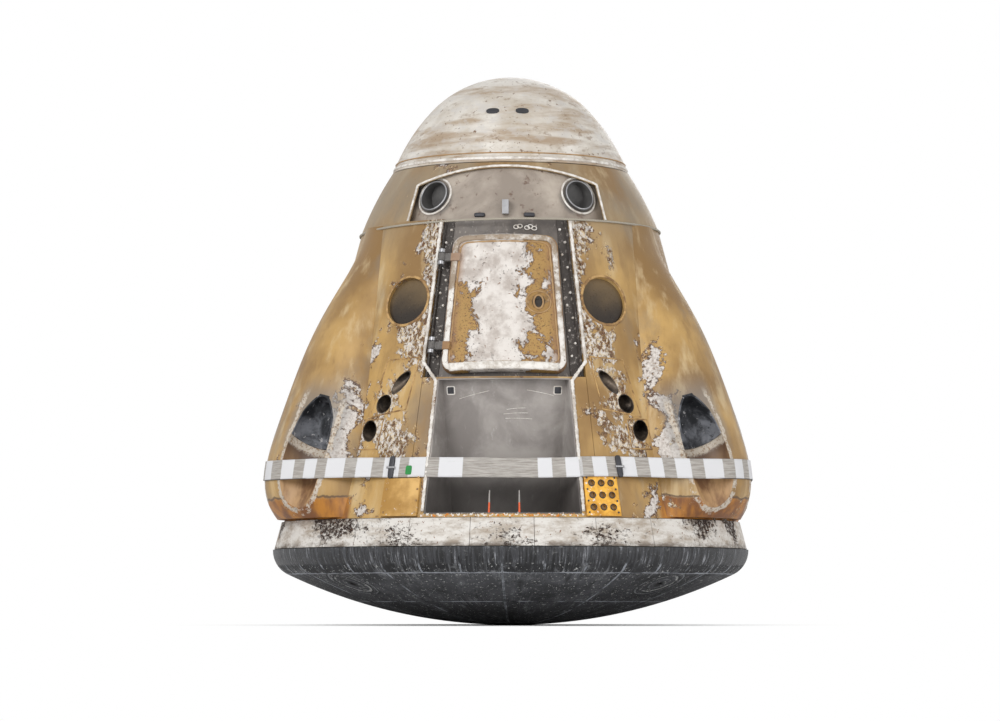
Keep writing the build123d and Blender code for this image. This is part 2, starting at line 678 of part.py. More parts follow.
# Forward section: the curved neck, with the drogue bay open at the front and the docking tunnel in the middle
NECK_MID_R = (WALL_TOP_R + NECK_TOP_R) / 2 + 10.5
NECK_MID_Z = 3388
TUNNEL_R = NECK_TOP_R - 525
DROGUE_HALF_AZ = 39.69  # half the bay's angle at its foot
DROGUE_FOOT_HALF = spot(DROGUE_HALF_AZ, WALL_TOP_R, 0)[0]
DROGUE_TOP_HALF = DROGUE_FOOT_HALF - 70
DROGUE_SHOULDER_Z = 3440
DROGUE_TOP_Z = 3565
DROGUE_BACK_LOW_R = WALL_TOP_R - 85  # at the foot of the bay
DROGUE_BACK_HIGH_R = NECK_TOP_R - 25  # at the top of the forward section
MORTAR_AZ = 33
MORTAR_Z = 3350
MORTAR_R = 120
MORTAR_WALL = 8
MORTAR_BACK_R = NECK_TOP_R - 42
MORTAR_PROUD = 18  # the rim stands out of the liner
DROGUE_LINER_T = 8
DROGUE_LINER_INSET = 2
NECK_H = NECK_TOP_Z - WALL_TOP_Z


def neck_envelope(grow, inside):
    """Revolves the neck outline, grown outwards, down to a list of inside points."""
    with BuildSketch(Plane.XZ) as profile:
        with BuildLine():
            start = (WALL_TOP_R + grow, WALL_TOP_Z)
            end = (NECK_TOP_R + grow, NECK_TOP_Z)
            ThreePointArc(start, (NECK_MID_R + grow, NECK_MID_Z), end)
            Polyline(end, *inside, start)
        make_face()
    revolve(profile.sketch, axis=Axis.Z)


def drogue_prism(inset):
    """The arched outline of the drogue bay, drawn smaller by inset and run out forwards."""
    with BuildSketch(Plane.XZ) as arch:
        with BuildLine():
            foot = DROGUE_FOOT_HALF - inset
            top = DROGUE_TOP_HALF - inset
            low = WALL_TOP_Z + inset
            rise = DROGUE_SHOULDER_Z - inset
            Polyline((-top, rise), (-foot, low), (foot, low), (top, rise))
            ThreePointArc((-top, rise), (0, DROGUE_TOP_Z - inset), (top, rise))
        make_face()
    extrude(arch.sketch, amount=FAR_R)


def drogue_back(grow, mode):
    """The conical back of the drogue bay, as a solid cone."""
    with Locations((0, 0, WALL_TOP_Z)):
        Cone(
            DROGUE_BACK_LOW_R + grow,
            DROGUE_BACK_HIGH_R + grow,
            NECK_H,
            align=(Align.CENTER, Align.CENTER, Align.MIN),
            mode=mode,
        )


def radial_out(az, r, z):
    """A plane at a point whose local z looks straight out from the axis, local x runs round it."""
    a = math.radians(az)
    return Plane(origin=spot(az, r, z), x_dir=(math.cos(a), math.sin(a), 0), z_dir=(math.sin(a), -math.cos(a), 0))


BOTTOM = (Align.CENTER, Align.CENTER, Align.MIN)
with BuildPart() as drogue_cut:
    drogue_prism(0)
    drogue_back(0, Mode.SUBTRACT)
with BuildPart() as forward_section:
    neck_envelope(
        0, [(TUNNEL_R, NECK_TOP_Z), (TUNNEL_R, CEILING_Z), (CEILING_R, CEILING_Z), (CABIN_TOP_R, WALL_TOP_Z)]
    )
    add(drogue_cut.part, mode=Mode.SUBTRACT)
    for side in (-1, 1):
        with Locations(radial_out(side * MORTAR_AZ, MORTAR_BACK_R, MORTAR_Z)):
            Cylinder(MORTAR_R + SEAT, NECK_H, align=BOTTOM, mode=Mode.SUBTRACT)
keep(forward_section, "forward_section")

with BuildPart() as mortars:
    for side in (-1, 1):
        with Locations(radial_out(side * MORTAR_AZ, MORTAR_BACK_R + SEAT, MORTAR_Z)):
            Cylinder(MORTAR_R, NECK_H, align=BOTTOM)
        with Locations(radial_out(side * MORTAR_AZ, MORTAR_BACK_R + MORTAR_WALL, MORTAR_Z)):
            Cylinder(MORTAR_R - MORTAR_WALL, 2 * NECK_H, align=BOTTOM, mode=Mode.SUBTRACT)
    drogue_back(DROGUE_LINER_T + MORTAR_PROUD, Mode.INTERSECT)
keep(mortars, "drogue_mortars")

with BuildPart() as drogue_sheet:
    drogue_back(SEAT + DROGUE_LINER_T, Mode.ADD)
    drogue_back(SEAT, Mode.SUBTRACT)
with BuildPart() as drogue_liner:
    drogue_prism(DROGUE_LINER_INSET)
    add(drogue_sheet.part, mode=Mode.INTERSECT)
    for side in (-1, 1):
        with Locations(radial_out(side * MORTAR_AZ, MORTAR_BACK_R, MORTAR_Z)):
            Cylinder(MORTAR_R + SEAT, NECK_H, align=BOTTOM, mode=Mode.SUBTRACT)
keep(drogue_liner, "drogue_bay_liner")

LIFT_Z = 3240
LIFT_FRONT_R = WALL_TOP_R - 32
LIFT_HOLE_R = 16
LIFT_HOLE_REACH = 32  # hole centre behind the front of the lug
LIFT_W = 50
LIFT_H = 110
with BuildPart() as lift_lug:
    with Locations(radial_out(0, LIFT_FRONT_R, LIFT_Z)):
        Box(LIFT_W, LIFT_H, 2 * LIFT_H, align=(Align.CENTER, Align.CENTER, Align.MAX))
    with Locations(Plane(origin=spot(0, LIFT_FRONT_R - LIFT_HOLE_REACH, LIFT_Z), z_dir=(1, 0, 0))):
        Cylinder(LIFT_HOLE_R, 2 * LIFT_W, mode=Mode.SUBTRACT)
    drogue_back(2 * SEAT + DROGUE_LINER_T, Mode.SUBTRACT)
keep(lift_lug, "lift_lug")

# Docking ring on top of the neck: a flange, a tunnel collar, a capture ring on posts and three guide petals
FLANGE_R = NECK_TOP_R - 235
FLANGE_T = 30
COLLAR_R = TUNNEL_R + 70
COLLAR_H = 110
CAPTURE_OUT_R = FLANGE_R - 80
CAPTURE_IN_R = CAPTURE_OUT_R - 80
CAPTURE_Z = 3790
CAPTURE_T = 40
POST_COUNT = 6
POST_R = 16
PETAL_AZ = (60, 180, 300)
PETAL_HALF_AZ = 18
PETAL_RISE = 80
PETAL_LEAN = 60
PETAL_T = 25
with BuildPart() as docking_ring:
    top = NECK_TOP_Z + FLANGE_T
    collar = [(TUNNEL_R, NECK_TOP_Z), (FLANGE_R, NECK_TOP_Z), (FLANGE_R, top), (COLLAR_R, top)]
    sector(0, 360, collar + [(COLLAR_R, NECK_TOP_Z + COLLAR_H), (TUNNEL_R, NECK_TOP_Z + COLLAR_H)])
    crown = CAPTURE_Z + CAPTURE_T
    sector(
        0, 360, [(CAPTURE_IN_R, CAPTURE_Z), (CAPTURE_OUT_R, CAPTURE_Z), (CAPTURE_OUT_R, crown), (CAPTURE_IN_R, crown)]
    )
    for index in range(POST_COUNT):
        place = spot(index * 360 / POST_COUNT, (CAPTURE_IN_R + CAPTURE_OUT_R) / 2, top - 1)
        with Locations(place):
            Cylinder(POST_R, CAPTURE_Z - top + 2, align=BOTTOM)
    for az in PETAL_AZ:
        foot = [(CAPTURE_IN_R, crown - 5), (CAPTURE_IN_R + PETAL_T, crown - 5)]
        tip = [(CAPTURE_IN_R - PETAL_LEAN + PETAL_T, crown + PETAL_RISE), (CAPTURE_IN_R - PETAL_LEAN, crown + PETAL_RISE)]
        sector(az - PETAL_HALF_AZ, az + PETAL_HALF_AZ, foot + tip)
keep(docking_ring, "docking_ring")

# Forward hatch: a disc that closes the tunnel from the cabin side and swings down into the cabin
TOP_HATCH_LAP = 40
TOP_HATCH_T = 50
TOP_HATCH_BOSS_R = TUNNEL_R - 55
TOP_HATCH_BOSS_H = 40
TOP_HINGE_Y = TUNNEL_R + 75
TOP_KNUCKLE_R = 24
TOP_TONGUE_W = 120
TOP_FORK_W = 26
TOP_HATCH_HIGH_Z = CEILING_Z - SWING - 1
TOP_HINGE_Z = TOP_HATCH_HIGH_Z - TOP_HATCH_T / 2
ACROSS = Plane(origin=(0, TOP_HINGE_Y, TOP_HINGE_Z), x_dir=(0, 1, 0), z_dir=(1, 0, 0))
with BuildPart() as forward_hatch:
    with Locations((0, 0, TOP_HATCH_HIGH_Z - TOP_HATCH_T)):
        Cylinder(TUNNEL_R + TOP_HATCH_LAP, TOP_HATCH_T, align=BOTTOM)
    with Locations((0, 0, TOP_HATCH_HIGH_Z - 1)):
        Cylinder(TOP_HATCH_BOSS_R, TOP_HATCH_BOSS_H + 1, align=BOTTOM)
    with Locations((0, TOP_HINGE_Y, TOP_HINGE_Z)):
        Box(TOP_TONGUE_W, 2 * TOP_HATCH_LAP + TOP_KNUCKLE_R, 1.6 * TOP_KNUCKLE_R, align=(Align.CENTER, Align.MAX, Align.CENTER))
    with Locations(ACROSS):
        Cylinder(TOP_KNUCKLE_R, TOP_TONGUE_W)
        Cylinder(KNUCKLE_BORE_R, 2 * TOP_TONGUE_W, mode=Mode.SUBTRACT)
keep(forward_hatch, "forward_hatch")

TOP_FORK_OUT = TOP_TONGUE_W / 2 + FORK_GAP + TOP_FORK_W / 2
with BuildPart() as forward_forks:
    for side in (-1, 1):
        with Locations(ACROSS.offset(side * TOP_FORK_OUT)):
            Cylinder(TOP_KNUCKLE_R, TOP_FORK_W)
        with Locations((side * TOP_FORK_OUT, TOP_HINGE_Y, TOP_HINGE_Z)):
            Box(TOP_FORK_W, 2 * TOP_KNUCKLE_R, CEILING_Z - TOP_HINGE_Z, align=BOTTOM)
    with Locations(ACROSS):
        Cylinder(PIN_R, 2 * TOP_FORK_OUT)
keep(forward_forks, "forward_hatch_forks")

# Nose cone: a hollow cap of two arcs, hinged at the rear of the seam
NOSE_GAP = SWING + 1
NOSE_FOOT_Z = NECK_TOP_Z + NOSE_GAP
NOSE_FOOT_R = NECK_TOP_R - 5
NOSE_BREAK_R = NECK_TOP_R - 315
NOSE_BREAK_Z = HEIGHT - 280
NOSE_SAG = 28.8
NOSE_T = 45
CAP_R = (NOSE_BREAK_R**2 + (HEIGHT - NOSE_BREAK_Z) ** 2) / (2 * (HEIGHT - NOSE_BREAK_Z))
CAP_Z = HEIGHT - CAP_R


def nose_edge(inset):
    """The nose outline moved inwards: foot, middle and end of the lower arc, then middle and end of the cap."""
    chord = math.hypot(NOSE_FOOT_R - NOSE_BREAK_R, NOSE_BREAK_Z - NOSE_FOOT_Z)
    out_r = (NOSE_BREAK_Z - NOSE_FOOT_Z) / chord
    out_z = (NOSE_FOOT_R - NOSE_BREAK_R) / chord
    mid = NOSE_SAG - inset
    turn = math.asin(NOSE_BREAK_R / CAP_R)
    cap = CAP_R - inset
    foot = (NOSE_FOOT_R - inset, NOSE_FOOT_Z)
    middle = ((NOSE_FOOT_R + NOSE_BREAK_R) / 2 + out_r * mid, (NOSE_FOOT_Z + NOSE_BREAK_Z) / 2 + out_z * mid)
    end = (cap * math.sin(turn), CAP_Z + cap * math.cos(turn))
    cap_mid = (cap * math.sin(turn / 2), CAP_Z + cap * math.cos(turn / 2))
    return foot, middle, end, cap_mid, (0, CAP_Z + cap)


NOSE_HINGE_Y = NECK_TOP_R + 57
NOSE_HINGE_Z = NECK_TOP_Z + 16
NOSE_HINGE_X = 160
NOSE_KNUCKLE_R = 30
NOSE_FORK_REACH = 150
ARM_T = 40
OUTER = nose_edge(0)
INNER = nose_edge(NOSE_T)
with BuildPart() as nose_cone:
    with BuildSketch(Plane.XZ):
        with BuildLine():
            ThreePointArc(OUTER[0], OUTER[1], OUTER[2])
            ThreePointArc(OUTER[2], OUTER[3], OUTER[4])
            Line(OUTER[4], INNER[4])
            ThreePointArc(INNER[4], INNER[3], INNER[2])
            ThreePointArc(INNER[2], INNER[1], INNER[0])
            Line(INNER[0], OUTER[0])
        make_face()
    revolve(axis=Axis.Z)
    for side in (-1, 1):
        across = Plane(origin=(side * NOSE_HINGE_X, NOSE_HINGE_Y, NOSE_HINGE_Z), x_dir=(0, 1, 0), z_dir=(1, 0, 0))
        with Locations((side * NOSE_HINGE_X, NOSE_HINGE_Y, NOSE_HINGE_Z)):
            Box(TONGUE_W, NOSE_HINGE_Y - NOSE_FOOT_R + NOSE_T, ARM_T, align=(Align.CENTER, Align.MAX, Align.MIN))
        with Locations(across):
            Cylinder(NOSE_KNUCKLE_R, TONGUE_W)
            Cylinder(KNUCKLE_BORE_R, 2 * TONGUE_W, mode=Mode.SUBTRACT)
keep(nose_cone, "nose_cone")

with BuildPart() as neck_solid:
    neck_envelope(SEAT, [(0, NECK_TOP_Z), (0, WALL_TOP_Z)])
with BuildPart() as nose_forks:
    for side in (-1, 1):
        for end in (-FORK_OUT, FORK_OUT):
            place = (side * NOSE_HINGE_X + end, NOSE_HINGE_Y, NOSE_HINGE_Z)
            with Locations(Plane(origin=place, x_dir=(0, 1, 0), z_dir=(1, 0, 0))):
                Cylinder(NOSE_KNUCKLE_R, FORK_W)
            with Locations(place):
                Box(FORK_W, 2 * NOSE_KNUCKLE_R, NOSE_FORK_REACH, align=(Align.CENTER, Align.CENTER, Align.MAX))
        with Locations(Plane(origin=(side * NOSE_HINGE_X, NOSE_HINGE_Y, NOSE_HINGE_Z), x_dir=(0, 1, 0), z_dir=(1, 0, 0))):
            Cylinder(PIN_R, 2 * FORK_OUT)
    add(neck_solid.part, mode=Mode.SUBTRACT)
keep(nose_forks, "nose_hinge_forks")

# Inside the cabin, seen through the hatch and the windows
SERVICE_BLOCK_R = FLOOR_R - 100
SERVICE_BLOCK_H = 600
with BuildPart() as cabin_floor:
    with Locations((0, 0, FLOOR_Z)):
        Cylinder(FLOOR_R - SEAT, FLOOR_T, align=(Align.CENTER, Align.CENTER, Align.MAX))
keep(cabin_floor, "cabin_floor")

with BuildPart() as service_block:
    with Locations((0, 0, FLOOR_Z - FLOOR_T)):
        Cylinder(SERVICE_BLOCK_R, SERVICE_BLOCK_H, align=(Align.CENTER, Align.CENTER, Align.MAX))
keep(service_block, "service_block")

SEAT_PITCH = 500
SEAT_W = 440
SEAT_T = 60
HEAD = (620, 1935)
HIP = (0, 1665)
KNEE = (-380, 1965)
BEAM = 80
HEAD_BEAM_Y = 480
with BuildSketch(Plane.YZ) as side_view:
    with BuildLine():
        low = [(y, z - SEAT_T) for y, z in (KNEE, HIP, HEAD)]
        Polyline(HEAD, HIP, KNEE, *low, close=True)
    make_face()
with BuildPart() as seats:
    for index in range(4):
        extrude(side_view.sketch.moved(Location(((index - 1.5) * SEAT_PITCH, 0, 0))), amount=SEAT_W / 2, both=True)
keep(seats, "seats")

HIP_BEAM_Z = HIP[1] - SEAT_T - SEAT
HEAD_BEAM_Z = HIP_BEAM_Z + (HEAD[1] - HIP[1]) / (HEAD[0] - HIP[0]) * (HEAD_BEAM_Y - BEAM / 2)
LEG_X = 600
BEAM_HALF = 960
with BuildPart() as seat_frame:
    for y, z in ((0, HIP_BEAM_Z), (HEAD_BEAM_Y, HEAD_BEAM_Z)):
        with Locations((0, y, z)):
            Box(2 * BEAM_HALF, BEAM, BEAM, align=(Align.CENTER, Align.CENTER, Align.MAX))
        for side in (-1, 1):
            with Locations((side * LEG_X, y, FLOOR_Z)):
                Box(BEAM, BEAM, z - FLOOR_Z - BEAM / 2, align=BOTTOM)
    for side in (-1, 1):
        with Locations((side * LEG_X, 0, HIP_BEAM_Z - BEAM)):
            Box(BEAM / 2, HEAD_BEAM_Y, BEAM / 2, align=(Align.CENTER, Align.MIN, Align.MAX))
keep(seat_frame, "seat_frame")

DISPLAY_Y = -640
DISPLAY_W = 1240
DISPLAY_H = 330
DISPLAY_T = 45
DISPLAY_FOOT_Z = 2000
STAND_X = 560
STAND = 60
with BuildPart() as display_panel:
    for side in (-1, 1):
        with Locations((side * STAND_X, DISPLAY_Y, FLOOR_Z)):
            Box(STAND, STAND, DISPLAY_FOOT_Z - FLOOR_Z + STAND, align=BOTTOM)
    with Locations((0, DISPLAY_Y, DISPLAY_FOOT_Z)):
        Box(DISPLAY_W, DISPLAY_T, DISPLAY_H, align=BOTTOM)
keep(display_panel, "display_panel")
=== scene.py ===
import math

import bpy
import numpy as np
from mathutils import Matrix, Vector
from mathutils.bvhtree import BVHTree


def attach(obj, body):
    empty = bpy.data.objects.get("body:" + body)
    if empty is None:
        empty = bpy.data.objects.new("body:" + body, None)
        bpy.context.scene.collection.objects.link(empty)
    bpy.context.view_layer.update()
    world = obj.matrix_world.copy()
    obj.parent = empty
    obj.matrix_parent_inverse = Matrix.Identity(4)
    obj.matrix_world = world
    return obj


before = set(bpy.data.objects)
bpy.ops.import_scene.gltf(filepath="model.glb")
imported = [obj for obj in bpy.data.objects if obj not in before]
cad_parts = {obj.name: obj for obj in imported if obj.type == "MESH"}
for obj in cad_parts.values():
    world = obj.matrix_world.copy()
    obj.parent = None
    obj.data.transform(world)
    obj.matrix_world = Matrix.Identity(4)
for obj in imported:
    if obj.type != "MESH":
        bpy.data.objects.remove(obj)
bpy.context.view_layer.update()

# The studio: a pale floor under the capsule, a white surround, soft lamps, and a camera a hand above the
# floor. The capsule stands on its heat shield, so the camera looks at the hatch side almost level.
CAMERA_DISTANCE = 30.0
CAMERA_AZ = math.radians(2.0)  # the hatch faces slightly to the left of the camera
CAMERA_HEIGHT = 0.14
CAMERA_AIM = (-0.085, 0.0, 2.12)
FOCAL_PX = 3742.0  # focal length in pixels of a frame 1000 wide
SENSOR_MM = 36.0
LAMP_AIM = (0.0, 0.0, 1.8)
LAMPS = {  # position, size, power
    "key_lamp": ((-6.0, -12.0, 7.5), 6.0, 900.0),
    "fill_lamp": ((9.0, -9.0, 3.0), 7.0, 420.0),
    "back_lamp": ((2.0, 11.0, 8.0), 6.0, 420.0),
}
WORLD_LIGHT = 0.62
FLOOR_HALF = 120.0
FLOOR_GREY = 0.90
FLOOR_FADE = (0.5, 3.0)  # distances from the axis where the white surround begins and is whole


def place_in_studio(name, data, position, target):
    """Adds a camera or lamp that looks from a position to a target."""
    thing = bpy.data.objects.new(name, data)
    thing.location = position
    thing.rotation_euler = (Vector(target) - Vector(position)).to_track_quat("-Z", "Y").to_euler()
    bpy.context.collection.objects.link(thing)
    return thing


def join(tree, value, socket):
    """Links an output, or sets a plain value, on a socket."""
    value = value.socket if isinstance(value, Value) else value
    if isinstance(value, bpy.types.NodeSocket):
        tree.links.new(value, socket)
    else:
        socket.default_value = value


def add_node(tree, kind, inputs=(), **settings):
    """Adds a shader node: its settings first, then a value or an output on each named or numbered socket."""
    node = tree.nodes.new("ShaderNode" + kind)
    for key, value in settings.items():
        setattr(node, key, value)
    for key, value in dict(inputs).items():
        join(tree, value, node.inputs[key])
    return node


def maths(operation):
    """A method that adds one math node."""

    def work_out(self, other=0.0):
        node = add_node(self.tree, "Math", {0: self, 1: other}, operation=operation)
        return Value(self.tree, node.outputs[0])

    return work_out


class Value:
    """What a shader works out at each place. Arithmetic on it adds nodes."""

    def __init__(self, tree, socket):
        self.tree = tree
        self.socket = socket

    __add__ = __radd__ = maths("ADD")
    __mul__ = __rmul__ = maths("MULTIPLY")
    __sub__, __truediv__, __pow__ = maths("SUBTRACT"), maths("DIVIDE"), maths("POWER")
    __gt__, __lt__, __abs__ = maths("GREATER_THAN"), maths("LESS_THAN"), maths("ABSOLUTE")
    most, least, sine, angle = maths("MAXIMUM"), maths("MINIMUM"), maths("SINE"), maths("ARCTAN2")
    floor, nearest, fraction = maths("FLOOR"), maths("ROUND"), maths("FRACT")

    def __rsub__(self, other):
        return self * -1.0 + other

    def reach(self, other):
        """How far off a place is whose two distances are this value and another."""
        return (self**2 + other**2) ** 0.5

    def step(self, low, high):
        """Rises smoothly from 0 at low to 1 at high. With low above high it falls."""
        inputs = {"Value": self, "From Min": low, "From Max": high}
        node = add_node(self.tree, "MapRange", inputs, interpolation_type="SMOOTHSTEP")
        return Value(self.tree, node.outputs["Result"])

    def window(self, low, high, soft):
        """One between low and high, fading to 0 over soft on each side."""
        return self.step(low - soft, low + soft) * self.step(high + soft, high - soft)

    def mix(self, low, high):
        """Blends two colours by this share."""
        inputs = {0: self, 6: tone(low), 7: tone(high)}
        node = add_node(self.tree, "Mix", inputs, data_type="RGBA", clamp_factor=True)
        return Value(self.tree, node.outputs[2])


camera_data = bpy.data.cameras.new("camera")
camera_data.sensor_width = SENSOR_MM
camera_data.lens = FOCAL_PX / 1000.0 * SENSOR_MM
camera_data.clip_end = 500.0
camera_place = (CAMERA_DISTANCE * math.sin(CAMERA_AZ), -CAMERA_DISTANCE * math.cos(CAMERA_AZ), CAMERA_HEIGHT)
bpy.context.scene.camera = place_in_studio("camera", camera_data, camera_place, CAMERA_AIM)
bpy.context.scene.view_settings.view_transform = "Standard"
for name, (place, size, power) in LAMPS.items():
    lamp = bpy.data.lights.new(name, "AREA")
    lamp.size, lamp.energy = size, power
    place_in_studio(name, lamp, place, LAMP_AIM)

world = bpy.data.worlds.new("studio")
bpy.context.scene.world = world
world.use_nodes = True
sky = world.node_tree.nodes["Background"]
sky.inputs["Color"].default_value = (1.0, 1.0, 1.0, 1.0)
rays = add_node(world.node_tree, "LightPath").outputs
seen = Value(world.node_tree, rays["Is Camera Ray"]).most(rays["Is Transmission Ray"])
seen = seen.most(rays["Is Glossy Ray"])
join(world.node_tree, seen * (1.0 - WORLD_LIGHT) + WORLD_LIGHT, sky.inputs["Strength"])

floor_mesh = bpy.data.meshes.new("studio_floor")
floor_corners = [(x * FLOOR_HALF, y * FLOOR_HALF, 0) for x, y in ((-1, -1), (1, -1), (1, 1), (-1, 1))]
floor_mesh.from_pydata(floor_corners, [], [(0, 1, 2, 3)])
studio_floor = bpy.data.objects.new("studio_floor", floor_mesh)
bpy.context.collection.objects.link(studio_floor)
floor_paint = bpy.data.materials.new("studio_floor_paint")
floor_paint.use_nodes = True
floor_tree = floor_paint.node_tree
floor_shade = floor_tree.nodes["Principled BSDF"]
floor_shade.inputs["Base Color"].default_value = (FLOOR_GREY, FLOOR_GREY, FLOOR_GREY, 1.0)
floor_shade.inputs["Roughness"].default_value = 0.9
# Away from the capsule the floor goes over into the white surround, so that no horizon shows
floor_place = add_node(floor_tree, "TexCoord").outputs["Object"]
floor_reach = add_node(floor_tree, "VectorMath", {0: floor_place}, operation="LENGTH").outputs["Value"]
floor_fade = Value(floor_tree, floor_reach).step(*FLOOR_FADE)
floor_fade = floor_fade * add_node(floor_tree, "LightPath").outputs["Is Camera Ray"]
floor_white = add_node(floor_tree, "Emission").outputs[0]
floor_mix = add_node(floor_tree, "MixShader", {0: floor_fade, 1: floor_shade.outputs[0], 2: floor_white})
join(floor_tree, floor_mix.outputs[0], floor_tree.nodes["Material Output"].inputs["Surface"])
floor_mesh.materials.append(floor_paint)

# The side wall, forward section and engine pods: composite panels under a sprayed insulation that has burnt
# to gold and brown and flaked to white. The panels are bolted to the frame, the insulation is sprayed on.
WALL_FOOT = (1.811, 0.820)  # radius and height of the cone's foot
WALL_TOP = (1.190, 3.150)
WALL = (WALL_FOOT, WALL_TOP)
WALL_SLOPE = (WALL_FOOT[0] - WALL_TOP[0]) / (WALL_TOP[1] - WALL_FOOT[1])
RECESS_FOOT_Z = 1.893  # the recess round the hatch begins here
TUNNEL_R = 0.430
DECK = (0.947, 3.610)  # radius and height of the top of the forward section, under the nose cone
CABIN_PAINT_DEPTH = 0.10  # what lies this far inside the outer cone is painted


def wall_radius(z):
    """Radius of the outer cone at a height."""
    return WALL_FOOT[0] - WALL_SLOPE * (z - WALL_FOOT[1])


def tone(colour):
    """A colour given as 0 to 255 on screen, made linear for a shader. A value stays as it is."""
    if isinstance(colour, Value):
        return colour
    screen = np.array(colour) / 255.0
    linear = np.where(screen <= 0.04045, screen / 12.92, ((screen + 0.055) / 1.055) ** 2.4)
    return (*linear.tolist(), 1.0)


def layers(coat, *coats):
    """Lays coats, each a share and a colour, over a first one."""
    for share, colour in coats:
        coat = share.mix(coat, colour)
    return coat


class Finish:
    """A material being built: most methods add nodes and return a value. The slot is the record's own."""

    def __init__(self, name, roughness=0.6, metallic=0.0, slot="scorched_panel", place="Object"):
        self.slot = slot
        self.material = bpy.data.materials.new(name)
        self.material.use_nodes = True
        self.tree = self.material.node_tree
        self.shader = self.tree.nodes["Principled BSDF"]
        self.shader.inputs["Roughness"].default_value = roughness
        self.shader.inputs["Metallic"].default_value = metallic
        self.place = add_node(self.tree, "TexCoord").outputs[place]
        axes = add_node(self.tree, "SeparateXYZ", {0: self.place}).outputs
        self.x, self.y, self.z = (Value(self.tree, axis) for axis in axes)

    def radius(self):
        """The distance from the capsule's axis."""
        return self.x.reach(self.y)

    def side(self):
        """Degrees round the axis from the nearer of hatch side and rear side, 0 to 90."""
        return abs(self.x).angle(abs(self.y)) * (180.0 / math.pi)

    def combine(self, x, y, z):
        """A place put together from three values."""
        return Value(self.tree, add_node(self.tree, "CombineXYZ", {0: x, 1: y, 2: z}).outputs[0])

    def noise(self, scale, detail, roughness, shift=0.0, warp=0.0, stretch=(1.0, 1.0, 1.0), place=None):
        """A cloudy noise of the place, stretched along the axes and shifted so that no two noises match."""
        mapping = {"Location": (shift, shift * 0.7, shift * 0.3), "Scale": stretch}
        moved = add_node(self.tree, "Mapping", mapping | {"Vector": place or self.place})
        inputs = {"Vector": moved.outputs[0], "Scale": scale, "Detail": detail, "Roughness": roughness}
        inputs["Distortion"] = warp
        return Value(self.tree, add_node(self.tree, "TexNoise", inputs).outputs["Fac"])

    def wear(self, coat, height=None, depth=0.0, roughness=None):
        """Gives the shader its colour and, where they are given, a relief of some depth and a roughness."""
        join(self.tree, coat, self.shader.inputs["Base Color"])
        if height:
            bump = add_node(self.tree, "Bump", {"Height": height, "Distance": depth})
            join(self.tree, bump.outputs[0], self.shader.inputs["Normal"])
        if roughness:
            join(self.tree, roughness, self.shader.inputs["Roughness"])
        return self


GOLD = (184, 148, 88)
GOLD_DARK = (132, 100, 54)
GOLD_PALE = (206, 184, 144)
BURNT = (66, 44, 30)
RUST = (114, 74, 42)
FLAKE = (212, 206, 200)
FLAKE_DULL = (172, 162, 154)
SMOKE = (122, 112, 98)
AMBER = (172, 112, 30)
AMBER_DARK = (112, 66, 24)
CABIN_WHITE = (210, 210, 206)
RECESS_GREY = (104, 97, 91)


def dress(finish, *node_names):
    """Puts one finish on every slot of the named nodes."""
    for node_name in node_names:
        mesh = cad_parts[node_name].data
        if not mesh.materials:
            mesh.materials.append(finish.material)
        for index in range(len(mesh.materials)):
            mesh.materials[index] = finish.material


# Where the insulation has crumbled most: degrees from the nearer of hatch side and rear, heights, how much
CRUMBLED = [
    (24.0, 27.6, 2.06, 3.16, 0.95),
    (24.0, 31.5, 2.70, 3.16, 0.72),
    (25.0, 36.5, 2.04, 2.30, 0.80),
    (27.5, 40.5, 1.63, 2.05, 0.58),
    (26.0, 39.5, 1.30, 1.62, 0.80),
    (45.5, 49.5, 1.35, 2.05, 0.38),
    (35.5, 41.5, 2.40, 3.10, 0.36),
]
# Where a smooth white film is left: the same columns
FILMED = [
    (24.0, 28.5, 2.30, 3.14, 0.80),
    (43.2, 49.0, 1.36, 2.34, 1.15),
    (30.0, 33.5, 2.75, 3.05, 0.55),
    (37.0, 42.5, 0.84, 1.14, 0.62),
    (40.5, 43.0, 1.62, 1.90, 0.60),
]
# The exhaust ports in the pods: azimuths folded as above, the mouths' radius and height, the trough's radii
PORT_AZ = (53.5, 74.5)
PORT_RADIUS = 1.885
PORT_Z = 1.450
PORT_TILT = math.radians(60)  # below the horizontal
TROUGH = (0.184, 0.222, 0.620)  # radius at the mouth, radius at the end, length


def placed(table, side, height):
    """The largest share that a row of a table gives a place."""
    largest = 0.0
    for side_low, side_high, z_low, z_high, share in table:
        here = side.window(side_low, side_high, 1.3) * height.window(z_low, z_high, 0.06)
        largest = (here * share).most(largest)
    return largest


def exhaust(skin, az):
    """How far a place is along an engine's exhaust, and how far off its axis in radii of the trough."""
    turn = math.radians(az)
    mouth = (PORT_RADIUS * math.sin(turn), PORT_RADIUS * math.cos(turn), PORT_Z)
    level = math.cos(PORT_TILT)
    aim = (level * math.sin(turn), level * math.cos(turn), -math.sin(PORT_TILT))
    gaps = [place - start for place, start in zip((abs(skin.x), abs(skin.y), skin.z), mouth)]
    along = sum(gap * way for gap, way in zip(gaps, aim))
    off = (sum(gap**2 for gap in gaps) - along**2) ** 0.5
    return along, off / (along * ((TROUGH[1] - TROUGH[0]) / TROUGH[2]) + TROUGH[0])


